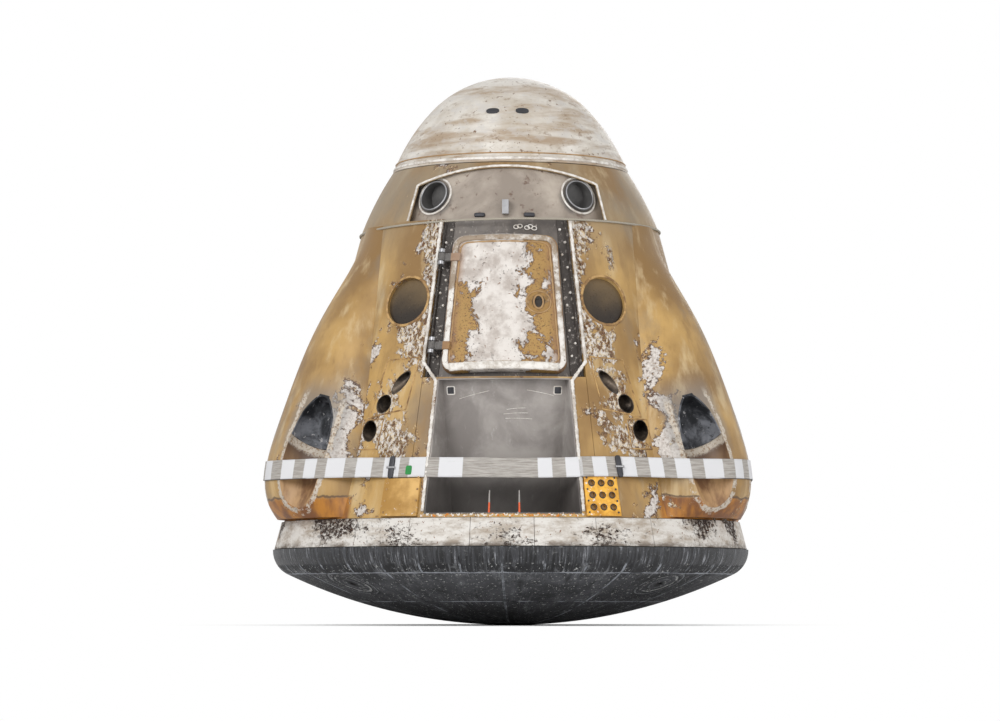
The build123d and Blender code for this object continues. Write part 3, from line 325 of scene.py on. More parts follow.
def scorched_skin(name, shift, flake_bias, pod=False, recess=False):
    """Gold insulation that has burnt, flaked white and crumbled.

    A noise is compared with a threshold: just above it the skin is burnt brown, well above it white. In the
    crumbled places a fine noise mixes white, rust and gold grains, where a coarser noise plus the place's own
    share passes one half. On a pod the troughs below the exhaust ports are bare and their rims crusted.
    """
    skin = Finish(name, roughness=0.62)
    side, z = skin.side(), skin.z
    broad = skin.noise(1.3, 4.0, 0.5, shift)
    film = skin.noise(2.6, 6.0, 0.6, shift + 4.0, stretch=(1.0, 1.0, 0.5))
    streaks = skin.noise(7.0, 6.0, 0.6, shift + 3.0, stretch=(1.0, 1.0, 0.12))
    patches = skin.noise(3.4, 12.0, 0.68, shift + 7.0, 0.35)
    grains = skin.noise(30.0, 9.0, 0.78, shift + 5.0, 0.25, (1.0, 1.0, 0.6))
    crumbs = skin.noise(46.0, 6.0, 0.74, shift + 1.0)
    gold = layers(
        broad.step(0.36, 0.64).mix(GOLD_DARK, GOLD),
        (streaks.step(0.50, 0.72) * 0.60, GOLD_PALE),
        (streaks.step(0.48, 0.30) * 0.55, GOLD_DARK),
        (film.step(0.52, 0.70) * 0.45, SMOKE),
        (z.step(2.6, 3.4) * broad.step(0.3, 0.6) * 0.75, SMOKE),
        (crumbs.step(0.665, 0.70) * 0.8, RUST),
    )
    # Crumbled places and places that keep a white film. A noise shifts what is compared, for ragged edges
    ragged_side = (skin.noise(6.0, 9.0, 0.72, shift + 9.0) - 0.5) * 17.0 + side
    ragged_height = film - 0.5 + z
    crumbled, filmed = (placed(table, ragged_side, ragged_height) for table in (CRUMBLED, FILMED))
    flank = side.step(38.0, 46.0) * z.step(1.6, 1.95)
    raised = patches + flake_bias - flank * 0.08 + crumbled * 0.06 + filmed * 0.17 + (crumbs - 0.5) * 0.14
    scorch = layers(crumbs.step(0.42, 0.6).mix(BURNT, RUST), (crumbs.step(0.54, 0.60), GOLD_PALE))
    white = crumbs.step(0.35, 0.62).mix(FLAKE_DULL, FLAKE)
    # Grains of white, gold, rust and black, drawn out along the slope where the hot gas ran
    loose = (patches - 0.5) * 1.7 + crumbled
    granular = layers(
        grains.step(0.40, 0.44).mix(BURNT, crumbs.step(0.46, 0.54).mix(RUST, gold)),
        (grains.step(0.49, 0.50), crumbs.step(0.40, 0.52).mix(GOLD_PALE, white)),
        (crumbs.step(0.605, 0.64), BURNT),
    )
    # The strip at the foot of the pods is bare amber lacquer, with a burnt line along its top
    strip_edge = (film - 0.5) * 0.16 + z
    strip = strip_edge.window(0.70, 0.985, 0.010) * side.window(41.5, 95.0, 0.8)
    lacquer = skin.noise(5.0, 5.0, 0.6, shift, stretch=(1, 1, 0.4)).step(0.4, 0.62)
    coat = layers(
        gold,
        (raised.step(0.560, 0.600), scorch),
        (raised.step(0.612, 0.630), white),
        (crumbs.step(0.40, 0.34) * raised.step(0.58, 0.64) * 0.8, RUST),
        (loose.step(0.50, 0.58), granular),
        (strip_edge.window(0.985, 1.003, 0.005) * side.step(41.0, 44.0) * 0.8, BURNT),
        (strip * raised.step(0.60, 0.57), lacquer.mix(AMBER_DARK, AMBER)),
    )
    if pod:
        # Bare golden troughs, sooty under the bell's lip, with a crust of ash round their rims
        ragged = skin.noise(6.0, 7.0, 0.7, shift + 21.0)
        torn = skin.noise(9.0, 8.0, 0.75, shift + 27.0)
        ash = crumbs.step(0.40, 0.50).mix((142, 118, 94), (190, 180, 166))
        ash = grains.step(0.36, 0.32).mix(ash, BURNT)
        for az in PORT_AZ:
            along, share = exhaust(skin, az)
            rough_share = share + (grains - 0.5) * 0.24 + (ragged - 0.5) * 0.55
            halo = rough_share.step(1.75, 1.05) * along.window(-0.42, 0.10, 0.16)
            rim = rough_share.window(1.0, 1.22, 0.03) * along.window(-0.34, 0.66, 0.06)
            bare = layers(
                streaks.step(0.40, 0.62).mix((118, 84, 56), (176, 140, 98)),
                (along.step(0.30, 0.02), (84, 62, 48)),
                ((grains * 0.10 + along).window(0.02, 0.115, 0.015), ash),
            )
            coat = layers(
                coat,
                (halo * 0.72, film.mix((74, 72, 72), (150, 146, 142))),
                (rim * (torn - along * 0.10).step(0.40, 0.46), ash),
                (share.step(1.03, 1.00) * along.window(0.0, TROUGH[2] + 0.02, 0.03), bare),
            )
    # The recess round the hatch is dull grey, the cabin side of every panel and the docking tunnel are white,
    # and the deck under the nose cone is pale grey
    radius = skin.radius()
    depth = wall_radius(z) - radius
    if recess:
        grey = patches.step(0.40, 0.60).mix((78, 72, 68), RECESS_GREY)
        grey = grains.step(0.58, 0.64).mix(grey, FLAKE_DULL)
        coat = ((depth > 0.015) * (z > RECESS_FOOT_Z)).mix(coat, grey)
    coat = layers(
        coat,
        ((depth > CABIN_PAINT_DEPTH) * (z < WALL_TOP[1] + 0.16), CABIN_WHITE),
        ((radius < TUNNEL_R + 0.03) * (z > 3.0), CABIN_WHITE),
        ((z > DECK[1] - 0.004) * (radius < DECK[0]), film.mix((126, 124, 120), (190, 188, 184))),
    )
    lift = raised.step(0.605, 0.635) * 0.8 + crumbs * 0.35
    lift = lift + loose.step(0.50, 0.58) * grains.step(0.44, 0.52) * 0.9
    return skin.wear(coat, lift, 0.0035, raised.step(0.58, 0.63) * 0.25 + 0.5)


quarters = [f"wall_{end}_{hand}" for end in ("front", "rear") for hand in ("left", "right")]
dress(scorched_skin("scorched_wall", 0.0, -0.02), *quarters)
dress(scorched_skin("scorched_front_wall", 0.0, -0.02, recess=True), "wall_front")
rear_skin = scorched_skin("scorched_rear_wall", 21.0, -0.02)
dress(rear_skin, "wall_rear", "wall_side_left", "wall_side_right", "forward_section")
pods = [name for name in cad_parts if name.startswith("abort_pod")]
dress(scorched_skin("scorched_pod", 43.0, -0.05, pod=True), *pods)

# The heat shield: carbon tiles in a centre disc, two rings and a row of short shoulder tiles, bonded to a
# dish. Re-entry has charred them, with pale streaks that run outwards and a pale crust along the joints.
CHAR = (40, 41, 44)
CHAR_PALE = (82, 83, 87)
CHAR_BLACK = (16, 16, 18)
STREAK = (146, 148, 152)
SPECK = (196, 196, 194)
RING_EDGES = (0.436, 1.225, 1.779)  # radii of the joints between the rings
SEAM_HALF = 0.006
PAD_AZ = math.radians(48)
PAD_PLACE = (1.590 * math.sin(PAD_AZ), 1.590 * math.cos(PAD_AZ))  # to the side, and to front or rear
PAD_R = 0.150
# Rings round a tie pad: share of its radius, strength, tone
PAD_LINES = [(1.36, 0.9, CHAR_BLACK), (1.26, 0.6, STREAK), (1.06, 0.9, CHAR_BLACK)]
PAD_LINES += [(0.94, 0.8, SPECK), (0.66, 0.8, CHAR_BLACK), (0.54, 0.4, STREAK)]
DARK_LINE_X = 0.025


def charred_tile(name, shift, streak_gain, pitch=None, darker=0.0):
    """Charcoal with pale streaks and specks, and joints that are dark in places and crusted white in others.

    The streaks are a noise of the azimuth and radius, squeezed along the radius, and a finer one combs the
    places beside a ring's edge. A joint shows where the azimuth is near a multiple of the pitch, or the
    radius near a ring's edge, and each tile between two joints has a tone of its own. Rings of crust and
    soot lie round each tie pad, and one dark line runs from front to rear under the middle.
    """
    tile = Finish(name, roughness=0.78)
    azimuth, radius = tile.x.angle(tile.y), tile.radius()
    streaks, comb = (
        tile.noise(2.2, detail, 0.7, place=tile.combine(azimuth * across, radius * along, tile.z * 2.0))
        for across, along, detail in ((9.0, 0.9, 9.0), (60.0, 0.6, 4.0))
    )
    cloud = tile.noise(2.2, 6.0, 0.6, shift)
    crust = tile.noise(3.4, 6.0, 0.65, shift + 13.0)
    scuffs = tile.noise(13.0, 9.0, 0.78, shift + 6.0, 0.4)
    dots = tile.noise(42.0, 4.0, 0.65, shift + 2.0)
    coat = cloud.step(0.35, 0.68).mix(CHAR, CHAR_PALE)
    beside_ring = 1.0
    for edge in RING_EDGES:
        beside_ring = abs(radius - edge).least(beside_ring)
    off_seam = beside_ring
    if pitch:
        turns = azimuth * (180.0 / math.pi / pitch)
        off_seam = (abs(turns - turns.nearest()) * math.radians(pitch) * radius).least(beside_ring)
        ring = sum(radius > edge for edge in RING_EDGES)
        lot = add_node(tile.tree, "TexWhiteNoise", {"Vector": tile.combine(turns.floor(), ring, 0.0)})
        coat = (Value(tile.tree, lot.outputs["Value"]) * 0.5).mix(coat, CHAR_BLACK)
    combed = beside_ring.step(0.15, 0.0) * comb.step(0.53, 0.64) * crust.step(0.40, 0.56)
    uneven = (scuffs - 0.5) * 0.05 + off_seam
    smeared = off_seam.step(0.060, 0.0) * scuffs.step(0.50, 0.60) * crust.step(0.46, 0.58)
    filled = uneven.step(SEAM_HALF * 1.6, SEAM_HALF * 0.5) * crust.step(0.38, 0.50)
    off_pad = (abs(tile.x) - PAD_PLACE[0]).reach(abs(tile.y) - PAD_PLACE[1]) + (scuffs - 0.5) * 0.06
    pad_crust = (scuffs + crust).step(0.90, 1.04)
    pad_lines = []
    for share, gain, shade in PAD_LINES:
        line = off_pad.window(PAD_R * share - 0.006, PAD_R * share + 0.006, 0.004)
        pad_lines.append((line * pad_crust * gain, shade))
    # One dark line, with a slight wander, runs from front to rear under the middle
    off_dark_line = abs((cloud - 0.5) * 0.05 + tile.x - DARK_LINE_X)
    # A dark glassy band lies under the rim, with black and pale drips across it
    band = tile.z.window(0.470, 0.600, 0.012)
    band_coat = comb.step(0.44, 0.52).mix((12, 12, 14), (52, 53, 57))
    band_coat = (comb.step(0.56, 0.66) * streaks.step(0.46, 0.58)).mix(band_coat, (160, 162, 168))
    coat = layers(
        coat,
        (Value(tile.tree, darker), CHAR_BLACK),
        (streaks.step(0.48, 0.32) * 0.8, CHAR_BLACK),
        (streaks.step(0.55, 0.72) * streak_gain, STREAK),
        (scuffs.step(0.55, 0.70) * 0.5, STREAK),
        (scuffs.step(0.45, 0.35) * 0.7, CHAR_BLACK),
        (dots.step(0.615, 0.66) * 0.9, SPECK),
        (combed * (streak_gain * 1.4), STREAK),
        (off_seam.step(SEAM_HALF, SEAM_HALF * 0.3), CHAR_BLACK),
        (smeared * 0.6, STREAK),
        (filled * 0.85, (172, 176, 184)),
        *pad_lines,
        (off_pad.step(0.050, 0.030) * 0.85, CHAR_BLACK),
        (off_dark_line.step(0.030, 0.012) * tile.y.window(-0.95, 1.25, 0.15) * 0.85, (9, 9, 11)),
        (band * 0.85, band_coat),
    )
    return tile.wear(coat, dots + streaks + scuffs, 0.003, band * -0.3 + 0.78)


dress(charred_tile("charred_centre", 4.0, 0.4), "shield_centre_tile")
dress(charred_tile("charred_tile", 4.0, 0.5, pitch=30.0), "shield_inner_tiles", "shield_outer_tiles")
dress(charred_tile("charred_edge_tile", 9.0, 0.45, pitch=10.0, darker=0.65), "shield_edge_tiles")
dress(charred_tile("charred_pad", 4.0, 0.5), "shield_tie_pads")

# The insulation band above the shield: short white blocks of quartz felt, bonded round the base frame.
# Most are only smudged, but here and there hot gas has pitted them black and brown.
felt = Finish("quartz_felt", roughness=0.85)
felt_smudge = felt.noise(5.0, 8.0, 0.7, 8.0, stretch=(1.0, 1.0, 2.5))
felt_ragged = (felt_smudge - 0.5) * 34.0 + felt.side()
felt_front = felt_ragged.step(7.0, -1.0).most(felt_ragged.window(20.0, 29.0, 5.0)) * felt.z.step(0.810, 0.720)
felt_place = felt.noise(1.9, 4.0, 0.5, 2.0).step(0.50, 0.62).most(felt_front * 0.8)
felt_burn = felt_place * 0.16 + felt.noise(32.0, 10.0, 0.80, 5.0, 0.15, (1.0, 1.0, 1.3))
felt_coat = layers(
    felt_smudge.step(0.40, 0.66).mix((212, 208, 202), (164, 152, 138)),
    (felt_burn.step(0.625, 0.650), RUST),
    (felt_burn.step(0.640, 0.665), (40, 28, 22)),
    (felt.noise(40.0, 4.0, 0.6, 11.0).step(0.64, 0.68) * 0.85, RUST),
    (felt.z.step(0.655, 0.605) * felt_smudge.step(0.35, 0.6) * 0.8, (84, 74, 66)),
)
dress(felt.wear(felt_coat, felt_burn.step(0.66, 0.60), 0.006), "insulation_band")

# The dish that carries the tiles, and the base frame behind it: welded aluminium under a green-grey primer,
# hardly seen from outside.


def mottled(name, low, high, cloud, grain=None, nodes=(), ramp=None, spots=(), **basics):
    """A finish in two tones, for plain metals, paints and fabrics.

    The cloud's noise mixes the tones, over a ramp where one is given. Spots are laid over them, each a
    noise, a ramp and a colour. The grain's noise is the relief, its depth given last. The named nodes get
    the finish.
    """
    finish = Finish(name, **basics)
    share = finish.noise(*cloud)
    coats = [(finish.noise(*spot).step(*edges), colour) for spot, edges, colour in spots]
    coat = layers((share.step(*ramp) if ramp else share).mix(low, high), *coats)
    dress(finish.wear(coat, finish.noise(*grain[:-1]), grain[-1]) if grain else finish.wear(coat), *nodes)
    return finish


mottled(
    "primed_frame", (96, 98, 94), (128, 130, 124), (6.0, 5.0, 0.6), roughness=0.5, metallic=0.6,
    nodes=("shield_carrier", "base_frame", "service_block"),
)

# The side hatch: a proud panel under the same insulation, white and flaked in the middle and gold at its
# sides, with a thick white bead of sealant round its edge. It hangs on two hinges at its left.
HATCH_MID_Z = 2.485
HATCH_RISE = 0.550  # half its length up the slope
HATCH_TOP_HALF = 0.400
HATCH_FOOT_HALF = 0.485
HATCH_TAPER = 0.080  # what its half width loses per metre of height
HATCH_CORNER = 0.095
HATCH_PROUD = 0.012
EDGE_INSETS = (0.026, 0.060)  # of the bead round its edge and of the gold line inside it
HATCH_LINER = 0.07  # what lies this far inside the outer cone is the painted liner
LATCH_X = 0.262
WALL_TILT = math.atan(WALL_SLOPE)
PLUMB = np.array([0.0, 0.0, 1.0])


def circle(count):
    """Angles that divide a turn evenly."""
    return np.linspace(0.0, 2.0 * math.pi, count, endpoint=False)


def unit(vectors):
    """The same directions, one long."""
    return vectors / np.linalg.norm(vectors, axis=-1, keepdims=True)


def on_turned(az, z, radius, lean, height=0.0):
    """Points on a surface of revolution, and its outward normals, for azimuths in degrees and heights.

    Radius and lean are those of the surface there: its normal goes up by lean for 1 outwards. The points are
    moved out along the normals by height.
    """
    turn = np.radians(az)
    normal = unit(np.stack(np.broadcast_arrays(np.sin(turn), -np.cos(turn), lean), axis=-1))
    point = np.stack(np.broadcast_arrays(radius * np.sin(turn), -radius * np.cos(turn), z), axis=-1)
    return point + normal * np.asarray(height)[..., None], normal


def on_cone(cone, az, z, height=0.0):
    """The same on a cone that is given by the radius and height of two of its circles."""
    (low_r, low_z), (high_r, high_z) = cone
    lean = (low_r - high_r) / (high_z - low_z)
    return on_turned(az, z, low_r - lean * (z - low_z), lean, height)


def read(rows, key, width=1, kind=np.int32):
    """One property of all the vertices, edges, faces or corners of a mesh, as an array."""
    flat = np.empty(len(rows) * width, dtype=kind)
    rows.foreach_get(key, flat)
    return flat.reshape(-1, width)


def surface(name, points, faces, finish, body, smooth=True, uv=None):
    """Makes a mesh piece from points and faces, dresses it and lets it ride on a body."""
    mesh = bpy.data.meshes.new(name)
    faces = faces if isinstance(faces, list) else faces.tolist()
    mesh.from_pydata(np.asarray(points).reshape(-1, 3).tolist(), [], faces)
    mesh.polygons.foreach_set("use_smooth", np.full(len(mesh.polygons), smooth))
    if uv is not None:
        corners = read(mesh.loops, "vertex_index")
        mesh.uv_layers.new(name="UVMap").data.foreach_set("uv", uv.reshape(-1, 2)[corners].ravel())
    mesh.materials.append(finish.material)
    piece = bpy.data.objects.new(name, mesh)
    bpy.context.collection.objects.link(piece)
    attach(piece, body)
    return piece


def grid_faces(rows, columns, close_rows=False, close_columns=False):
    """Quads of a grid of points, joined round either way where asked."""
    row = np.arange(rows if close_rows else rows - 1)
    column = np.arange(columns if close_columns else columns - 1)
    row, column = np.meshgrid(row, column, indexing="ij")
    below, right = (row + 1) % rows, (column + 1) % columns
    row, below = row * columns, below * columns
    return np.stack([row + column, row + right, below + right, below + column], axis=-1).reshape(-1, 4)


def sleeve_faces(rings, sides, closed=False):
    """Faces round a run of rings, with a cap at each end where the run isn't closed."""
    faces = grid_faces(rings, sides, closed, True).tolist()
    ends = [list(range(sides))[::-1], list(range((rings - 1) * sides, rings * sides))]
    return faces if closed else faces + ends


def ahead_of(ring):
    """The directions in which a closed ring of points runs."""
    return np.roll(ring, -1, axis=0) - np.roll(ring, 1, axis=0)


def bead(name, line, width, height, finish, body="hull", closed=False, sides=10, sink=0.3, rough=0.0):
    """An oval bead laid along a line on a surface, given as its points and the surface's normals there.

    The section is an ellipse of the given width and height whose axes are the line's side direction
    (tangent cross normal) and the surface normal. It is carried along the line, sunk by a share of its
    height, and its size wanders by rough times a sum of sines.
    """
    path, normals = line
    tangent = ahead_of(path) if closed else np.gradient(path, axis=0)
    across = unit(np.cross(tangent, normals))
    walk = np.arange(len(path))[:, None, None]
    size = 1.0 + rough * (np.sin(walk * 1.7) + np.sin(walk * 0.73 + 1.0) + np.sin(walk * 3.1 + 2.0)) / 2.0
    angle = circle(sides)[:, None]
    up = normals[:, None] * ((np.sin(angle) * 0.5 + 0.5 - sink) * height)
    ring = path[:, None] + (across[:, None] * (np.cos(angle) * width / 2.0) + up) * size
    return surface(name, ring, sleeve_faces(len(path), sides, closed), finish, body)


def hatch_outline(inset):
    """Points round the hatch in its own tangent plane: straight edges and corner arcs, moved in by inset."""
    rise, foot, top = (half - inset for half in (HATCH_RISE, HATCH_FOOT_HALF, HATCH_TOP_HALF))
    corners = np.array([(-foot, -rise), (foot, -rise), (top, rise), (-top, rise)])
    ahead = unit(np.roll(corners, -1, axis=0) - corners)
    reach = HATCH_CORNER - inset / 2
    start, end = (corners + way * reach for way in (-np.roll(ahead, 1, axis=0), ahead))
    share, along = np.linspace(0, 1, 16)[:, None], np.linspace(0, 1, 26)[1:-1, None]
    arcs = (1 - share) ** 2 * start[:, None] + 2 * share * (1 - share) * corners[:, None]
    arcs = arcs + share**2 * end[:, None]
    runs = end[:, None] + (np.roll(start, -1, axis=0) - end)[:, None] * along
    return np.concatenate([arcs, runs], axis=1).reshape(-1, 2)


def on_skin(az, z, plane_points, height):
    """Moves points of the tangent plane at a place on the wall along its normal on to the cone.

    The plane's first axis runs round the wall and its second up the slope. The gap to the cone raised by
    height is closed by a few steps of false position. The cone's normals come back with the points.
    """
    turn = math.radians(az)
    round_wall = np.array([math.cos(turn), math.sin(turn), 0.0])
    level = np.array([math.sin(turn), -math.cos(turn), 0.0])
    up = PLUMB * math.cos(WALL_TILT) - level * math.sin(WALL_TILT)
    out = level * math.cos(WALL_TILT) + PLUMB * math.sin(WALL_TILT)
    points = level * wall_radius(z) + PLUMB * z + plane_points @ [round_wall, up]
    for _ in range(12):
        gap = np.hypot(points[:, 0], points[:, 1]) - wall_radius(points[:, 2]) - height / math.cos(WALL_TILT)
        points = points - gap[:, None] * out * 0.9
    return points, on_cone(WALL, np.degrees(np.arctan2(points[:, 0], -points[:, 1])), points[:, 2])[1]


def on_hatch(plane_points, height=HATCH_PROUD):
    """The same on the side hatch, whose skin stands proud of the wall."""
    return on_skin(0.0, HATCH_MID_Z, plane_points, height)


hatch_skin = Finish("hatch_insulation", roughness=0.7)
hatch_x, hatch_z = hatch_skin.x, hatch_skin.z
hatch_patch = hatch_skin.noise(5.0, 11.0, 0.72, 11.0, 0.3)
hatch_crumb = hatch_skin.noise(52.0, 6.0, 0.74, 5.0)
hatch_wave = hatch_skin.noise(9.0, 5.0, 0.6, 3.0)
hatch_bare = hatch_x.step(0.10, 0.24).most(hatch_x.step(-0.14, -0.32) * hatch_z.step(2.85, 2.40))
cover = hatch_patch + 0.09 - hatch_bare * 0.19 + (hatch_crumb - 0.5) * 0.10
# Small dark pits along the film's edges, and a few brown dots all over
hatch_pits = hatch_crumb.step(0.415, 0.385) * cover.step(0.61, 0.52)
hatch_dots = hatch_skin.noise(26.0, 3.0, 0.6, 8.0).step(0.64, 0.69)
# Round the latch port the film is gone, and the well itself is painted near black
off_port = (hatch_x - LATCH_X).reach(hatch_z - HATCH_MID_Z) + (hatch_crumb - 0.5) * 0.03
# A stained border inside the sealant. Beyond the edge only the hinge tongues are left, of sooty metal
hatch_half = (HATCH_TOP_HALF + HATCH_FOOT_HALF) / 2
off_edge = (hatch_z - HATCH_MID_Z) * -HATCH_TAPER + hatch_half - abs(hatch_x)
border = off_edge.step(0.125, 0.055) * hatch_patch.step(0.36, 0.52)
hatch_inner = hatch_skin.radius() < wall_radius(hatch_z) - HATCH_LINER
hatch_coat = layers(
    hatch_skin.noise(3.0, 5.0, 0.6, 2.0).mix(GOLD_DARK, GOLD),
    (hatch_crumb.step(0.57, 0.63), RUST),
    (cover.step(0.440, 0.470), hatch_crumb.mix(BURNT, RUST)),
    (cover.step(0.472, 0.486), hatch_wave.step(0.32, 0.62).mix(FLAKE_DULL, FLAKE)),
    (hatch_pits * 0.9, (58, 46, 42)),
    (hatch_dots * 0.7, RUST),
    (off_port.step(0.100, 0.088) * 0.9, (146, 112, 62)),
    (off_port.step(0.060, 0.040), (40, 34, 28)),
    (border * 0.85, (138, 104, 74)),
    (off_edge < -0.004, hatch_crumb.mix((52, 50, 50), (120, 116, 112))),
    (hatch_inner, hatch_wave.mix((196, 197, 194), (218, 218, 214))),
)
hatch_lift = hatch_crumb * 0.22 + cover.step(0.47, 0.50) - hatch_pits * 0.4
dress(hatch_skin.wear(hatch_coat, hatch_lift * (1.0 - hatch_inner), 0.003), "side_hatch")

SEALANT_CLOUD = (12.0, 8.0, 0.7, 3.0)
sealant = mottled(
    "white_sealant", (226, 222, 216), (190, 182, 172), SEALANT_CLOUD, (60.0, 5.0, 0.7, 0.004),
    (), (0.42, 0.60), [(SEALANT_CLOUD, (0.66, 0.70), RUST)], roughness=0.8, slot="white_band",
)
# Round the hatch the same sealant is stained, least along the foot
edge_sealant = Finish("stained_sealant", roughness=0.8, slot="white_band")
edge_cloud = edge_sealant.noise(7.0, 8.0, 0.72, 6.0)
edge_grit = edge_sealant.noise(40.0, 6.0, 0.75, 2.0)
edge_stain = (edge_sealant.z.step(2.0, 3.0) * 0.16 + edge_cloud).step(0.50, 0.68)
edge_coat = edge_stain.mix((222, 218, 212), (150, 134, 116))
edge_sealant.wear(edge_grit.step(0.60, 0.65).mix(edge_coat, (96, 72, 52)), edge_grit + edge_cloud, 0.004)
amber_line = mottled("amber_filler", (118, 82, 46), (190, 158, 112), (18.0, 5.0, 0.6), slot="gold_plate")
edge, inner_edge = (on_hatch(hatch_outline(inset)) for inset in EDGE_INSETS)
bead("hatch_edge_bead", edge, 0.044, 0.020, edge_sealant, "side_hatch", closed=True, rough=0.09)
bead("hatch_inner_line", inner_edge, 0.012, 0.008, amber_line, "side_hatch", closed=True, rough=0.25)
# A thick roll of sealant along the lower edge
roll_half, roll_rise = HATCH_FOOT_HALF - 0.07, 0.030 - HATCH_RISE
roll = on_hatch(np.linspace([-roll_half, roll_rise], [roll_half, roll_rise], 60))
bead("hatch_foot_roll", roll, 0.066, 0.034, sealant, "side_hatch", rough=0.05)

# The latch port at the right of the hatch: a small well with a dark lever in it. A raised gold ring with a
# stained apron of the same insulation goes round it, and a thin bead marks where the apron ends.
LATCH_LINES = {  # half width and half height, the bead's width and height, how much its size wanders
    "rim": ((0.036, 0.054), 0.014, 0.010, 0.0),
    "apron": ((0.094, 0.088), 0.011, 0.006, 0.35),
}
LEVER_HALF = 0.038
LEVER_SUNK = 0.014


def ellipse(half_x, half_y, angle):
    """Points of an ellipse in a plane."""
    return np.stack([half_x * np.cos(angle), half_y * np.sin(angle)], axis=-1)


for part, (halves, wide, tall, rough) in LATCH_LINES.items():
    port = on_hatch(ellipse(*halves, circle(40)) + (LATCH_X, 0.0))
    bead(f"latch_port_{part}", port, wide, tall, amber_line, "side_hatch", closed=True, rough=rough)
dark_metal = mottled(
    "sooty_metal", (34, 34, 37), (86, 86, 90), (9.0, 6.0, 0.65, 6.0), (40.0, 4.0, 0.6, 0.001),
    roughness=0.55, metallic=0.7, slot="dark_metal",
)
lever = on_hatch(np.linspace([LATCH_X, -LEVER_HALF], [LATCH_X, LEVER_HALF], 12), HATCH_PROUD - LEVER_SUNK)
bead("latch_lever", lever, 0.016, 0.012, dark_metal, "side_hatch")

# Hinge forks, the lifting lug and the seat frame: milled from solid aluminium and left bare. The forks and
# the lug are bolted to the hull.
machined = mottled(
    "machined_aluminium", (120, 120, 122), (182, 182, 184), (14.0, 5.0, 0.6, 2.0),
    (90.0, 3.0, 0.6, 0.0, 0.0, (1, 1, 0.2), 0.0004),
    ("hatch_hinge_forks", "forward_hatch_forks", "nose_hinge_forks", "lift_lug", "seat_frame"),
    roughness=0.38, metallic=0.85, slot="bare_metal",
)

# The riser channels: dark lined troughs beside the hatch, with a pale clip every hand's width, and ropes of
# white sealant along their outer edges that turn in at the foot and run down the sides of the main bay.
SIDEWAYS = np.array([1.0, 0.0, 0.0])


def bolt_heads(name, places, radius, height, finish, body="hull", sides=6):
    """Polygonal heads with a domed top: four rings of points round each normal, at every centre at once."""
    centres, normals = (np.asarray(part)[:, None, None] for part in places)
    normals = unit(normals)
    across = unit(np.cross(np.where(np.abs(normals[..., 2:]) > 0.9, SIDEWAYS, PLUMB), normals))
    angle = circle(sides)[:, None]
    ring = np.cos(angle) * across + np.sin(angle) * np.cross(normals, across)
    ring_radius = radius * np.array([1.0, 1.0, 0.82, 0.001])[:, None, None]
    ring_height = height * np.array([-0.2, 0.75, 1.0, 1.04])[:, None, None]
    points = centres + ring * ring_radius + normals * ring_height
    faces = grid_faces(4, sides, False, True) + (np.arange(len(centres)) * 4 * sides)[:, None, None]
    return surface(name, points, faces.reshape(-1, 4), finish, body, smooth=False)


mottled(
    "channel_lining", (44, 40, 38), (86, 80, 76), (9.0, 8.0, 0.7, 4.0), (9.0, 8.0, 0.7, 4.0, 0.003),
    ("riser_channels",), spots=[((34.0, 8.0, 0.75, 7.0), (0.575, 0.61), (168, 162, 156))], roughness=0.75,
)
BAY_DEPTH = 0.072
CHANNEL_AZ = 24.25
CHANNEL_Z = (3.13, 2.02)
MAIN_AZ = 19.5
MAIN_FOOT_Z = 0.845
CLIP_AZ = (21.3, 22.9)  # the clips stand in two columns
CLIP_Z = np.linspace(2.08, 3.08, 11)
HANDS = (("left", -1), ("right", 1))
for name, hand in HANDS:
    turn_in = np.linspace(0, 1, 26)
    az_in, z_in = CHANNEL_AZ - (CHANNEL_AZ - MAIN_AZ) * turn_in, CHANNEL_Z[1] - 0.15 * turn_in
    az_run = np.concatenate([np.full(60, CHANNEL_AZ), az_in, np.full(70, MAIN_AZ)])
    z_run = np.concatenate([np.linspace(*CHANNEL_Z, 60), z_in, np.linspace(1.85, MAIN_FOOT_Z + 0.02, 70)])
    rope = on_cone(WALL, hand * (az_run + 0.35), z_run)
    bead(f"channel_sealant_{name}", rope, 0.026, 0.018, sealant, rough=0.22)
    clips = on_cone(WALL, hand * np.resize(CLIP_AZ, len(CLIP_Z)), CLIP_Z, 0.008 - BAY_DEPTH)
    bolt_heads(f"channel_clips_{name}", clips, 0.011, 0.016, sealant, sides=5)

# The main parachute bay: an open painted pocket, smudged by the lines that ran out of it. Above it the same
# paint lines the drogue bay, warmer and stained, with soot round the mortars' mouths.
MORTAR_FRONT = (0.570, 3.345)  # how far a mortar's mouth is to the side, and its height
bay_paint = Finish("bay_paint", roughness=0.6)
bay_cloud = bay_paint.noise(2.6, 6.0, 0.6, 5.0, 0.4).step(0.35, 0.65)
bay_scuff = bay_paint.noise(16.0, 6.0, 0.7, 2.0, stretch=(1.0, 1.0, 0.35))
bay_stain = bay_paint.noise(15.0, 8.0, 0.70, 9.0)
upper_bay = bay_paint.z.step(2.9, 3.1)
off_mouth = (abs(bay_paint.x) - MORTAR_FRONT[0]).reach(bay_paint.z - MORTAR_FRONT[1]) + bay_scuff * 0.05
bay_coat = layers(
    bay_cloud.mix((128, 122, 118), (164, 158, 153)),
    (bay_scuff.step(0.60, 0.74) * 0.5, (196, 192, 188)),
    (upper_bay * 0.85, bay_cloud.mix((140, 128, 116), (178, 166, 152))),
    (bay_stain.step(0.56, 0.68) * upper_bay * 0.85, (92, 66, 52)),
    (off_mouth.step(0.20, 0.14) * 0.85, (62, 58, 56)),
    # Painted shade: the bay is darkened towards its foot, below the belt
    (bay_paint.z.step(1.30, 1.02) * 0.75, (52, 48, 46)),
)
dress(bay_paint.wear(bay_coat, bay_scuff, 0.0015), "main_bay_liner", "drogue_bay_liner")


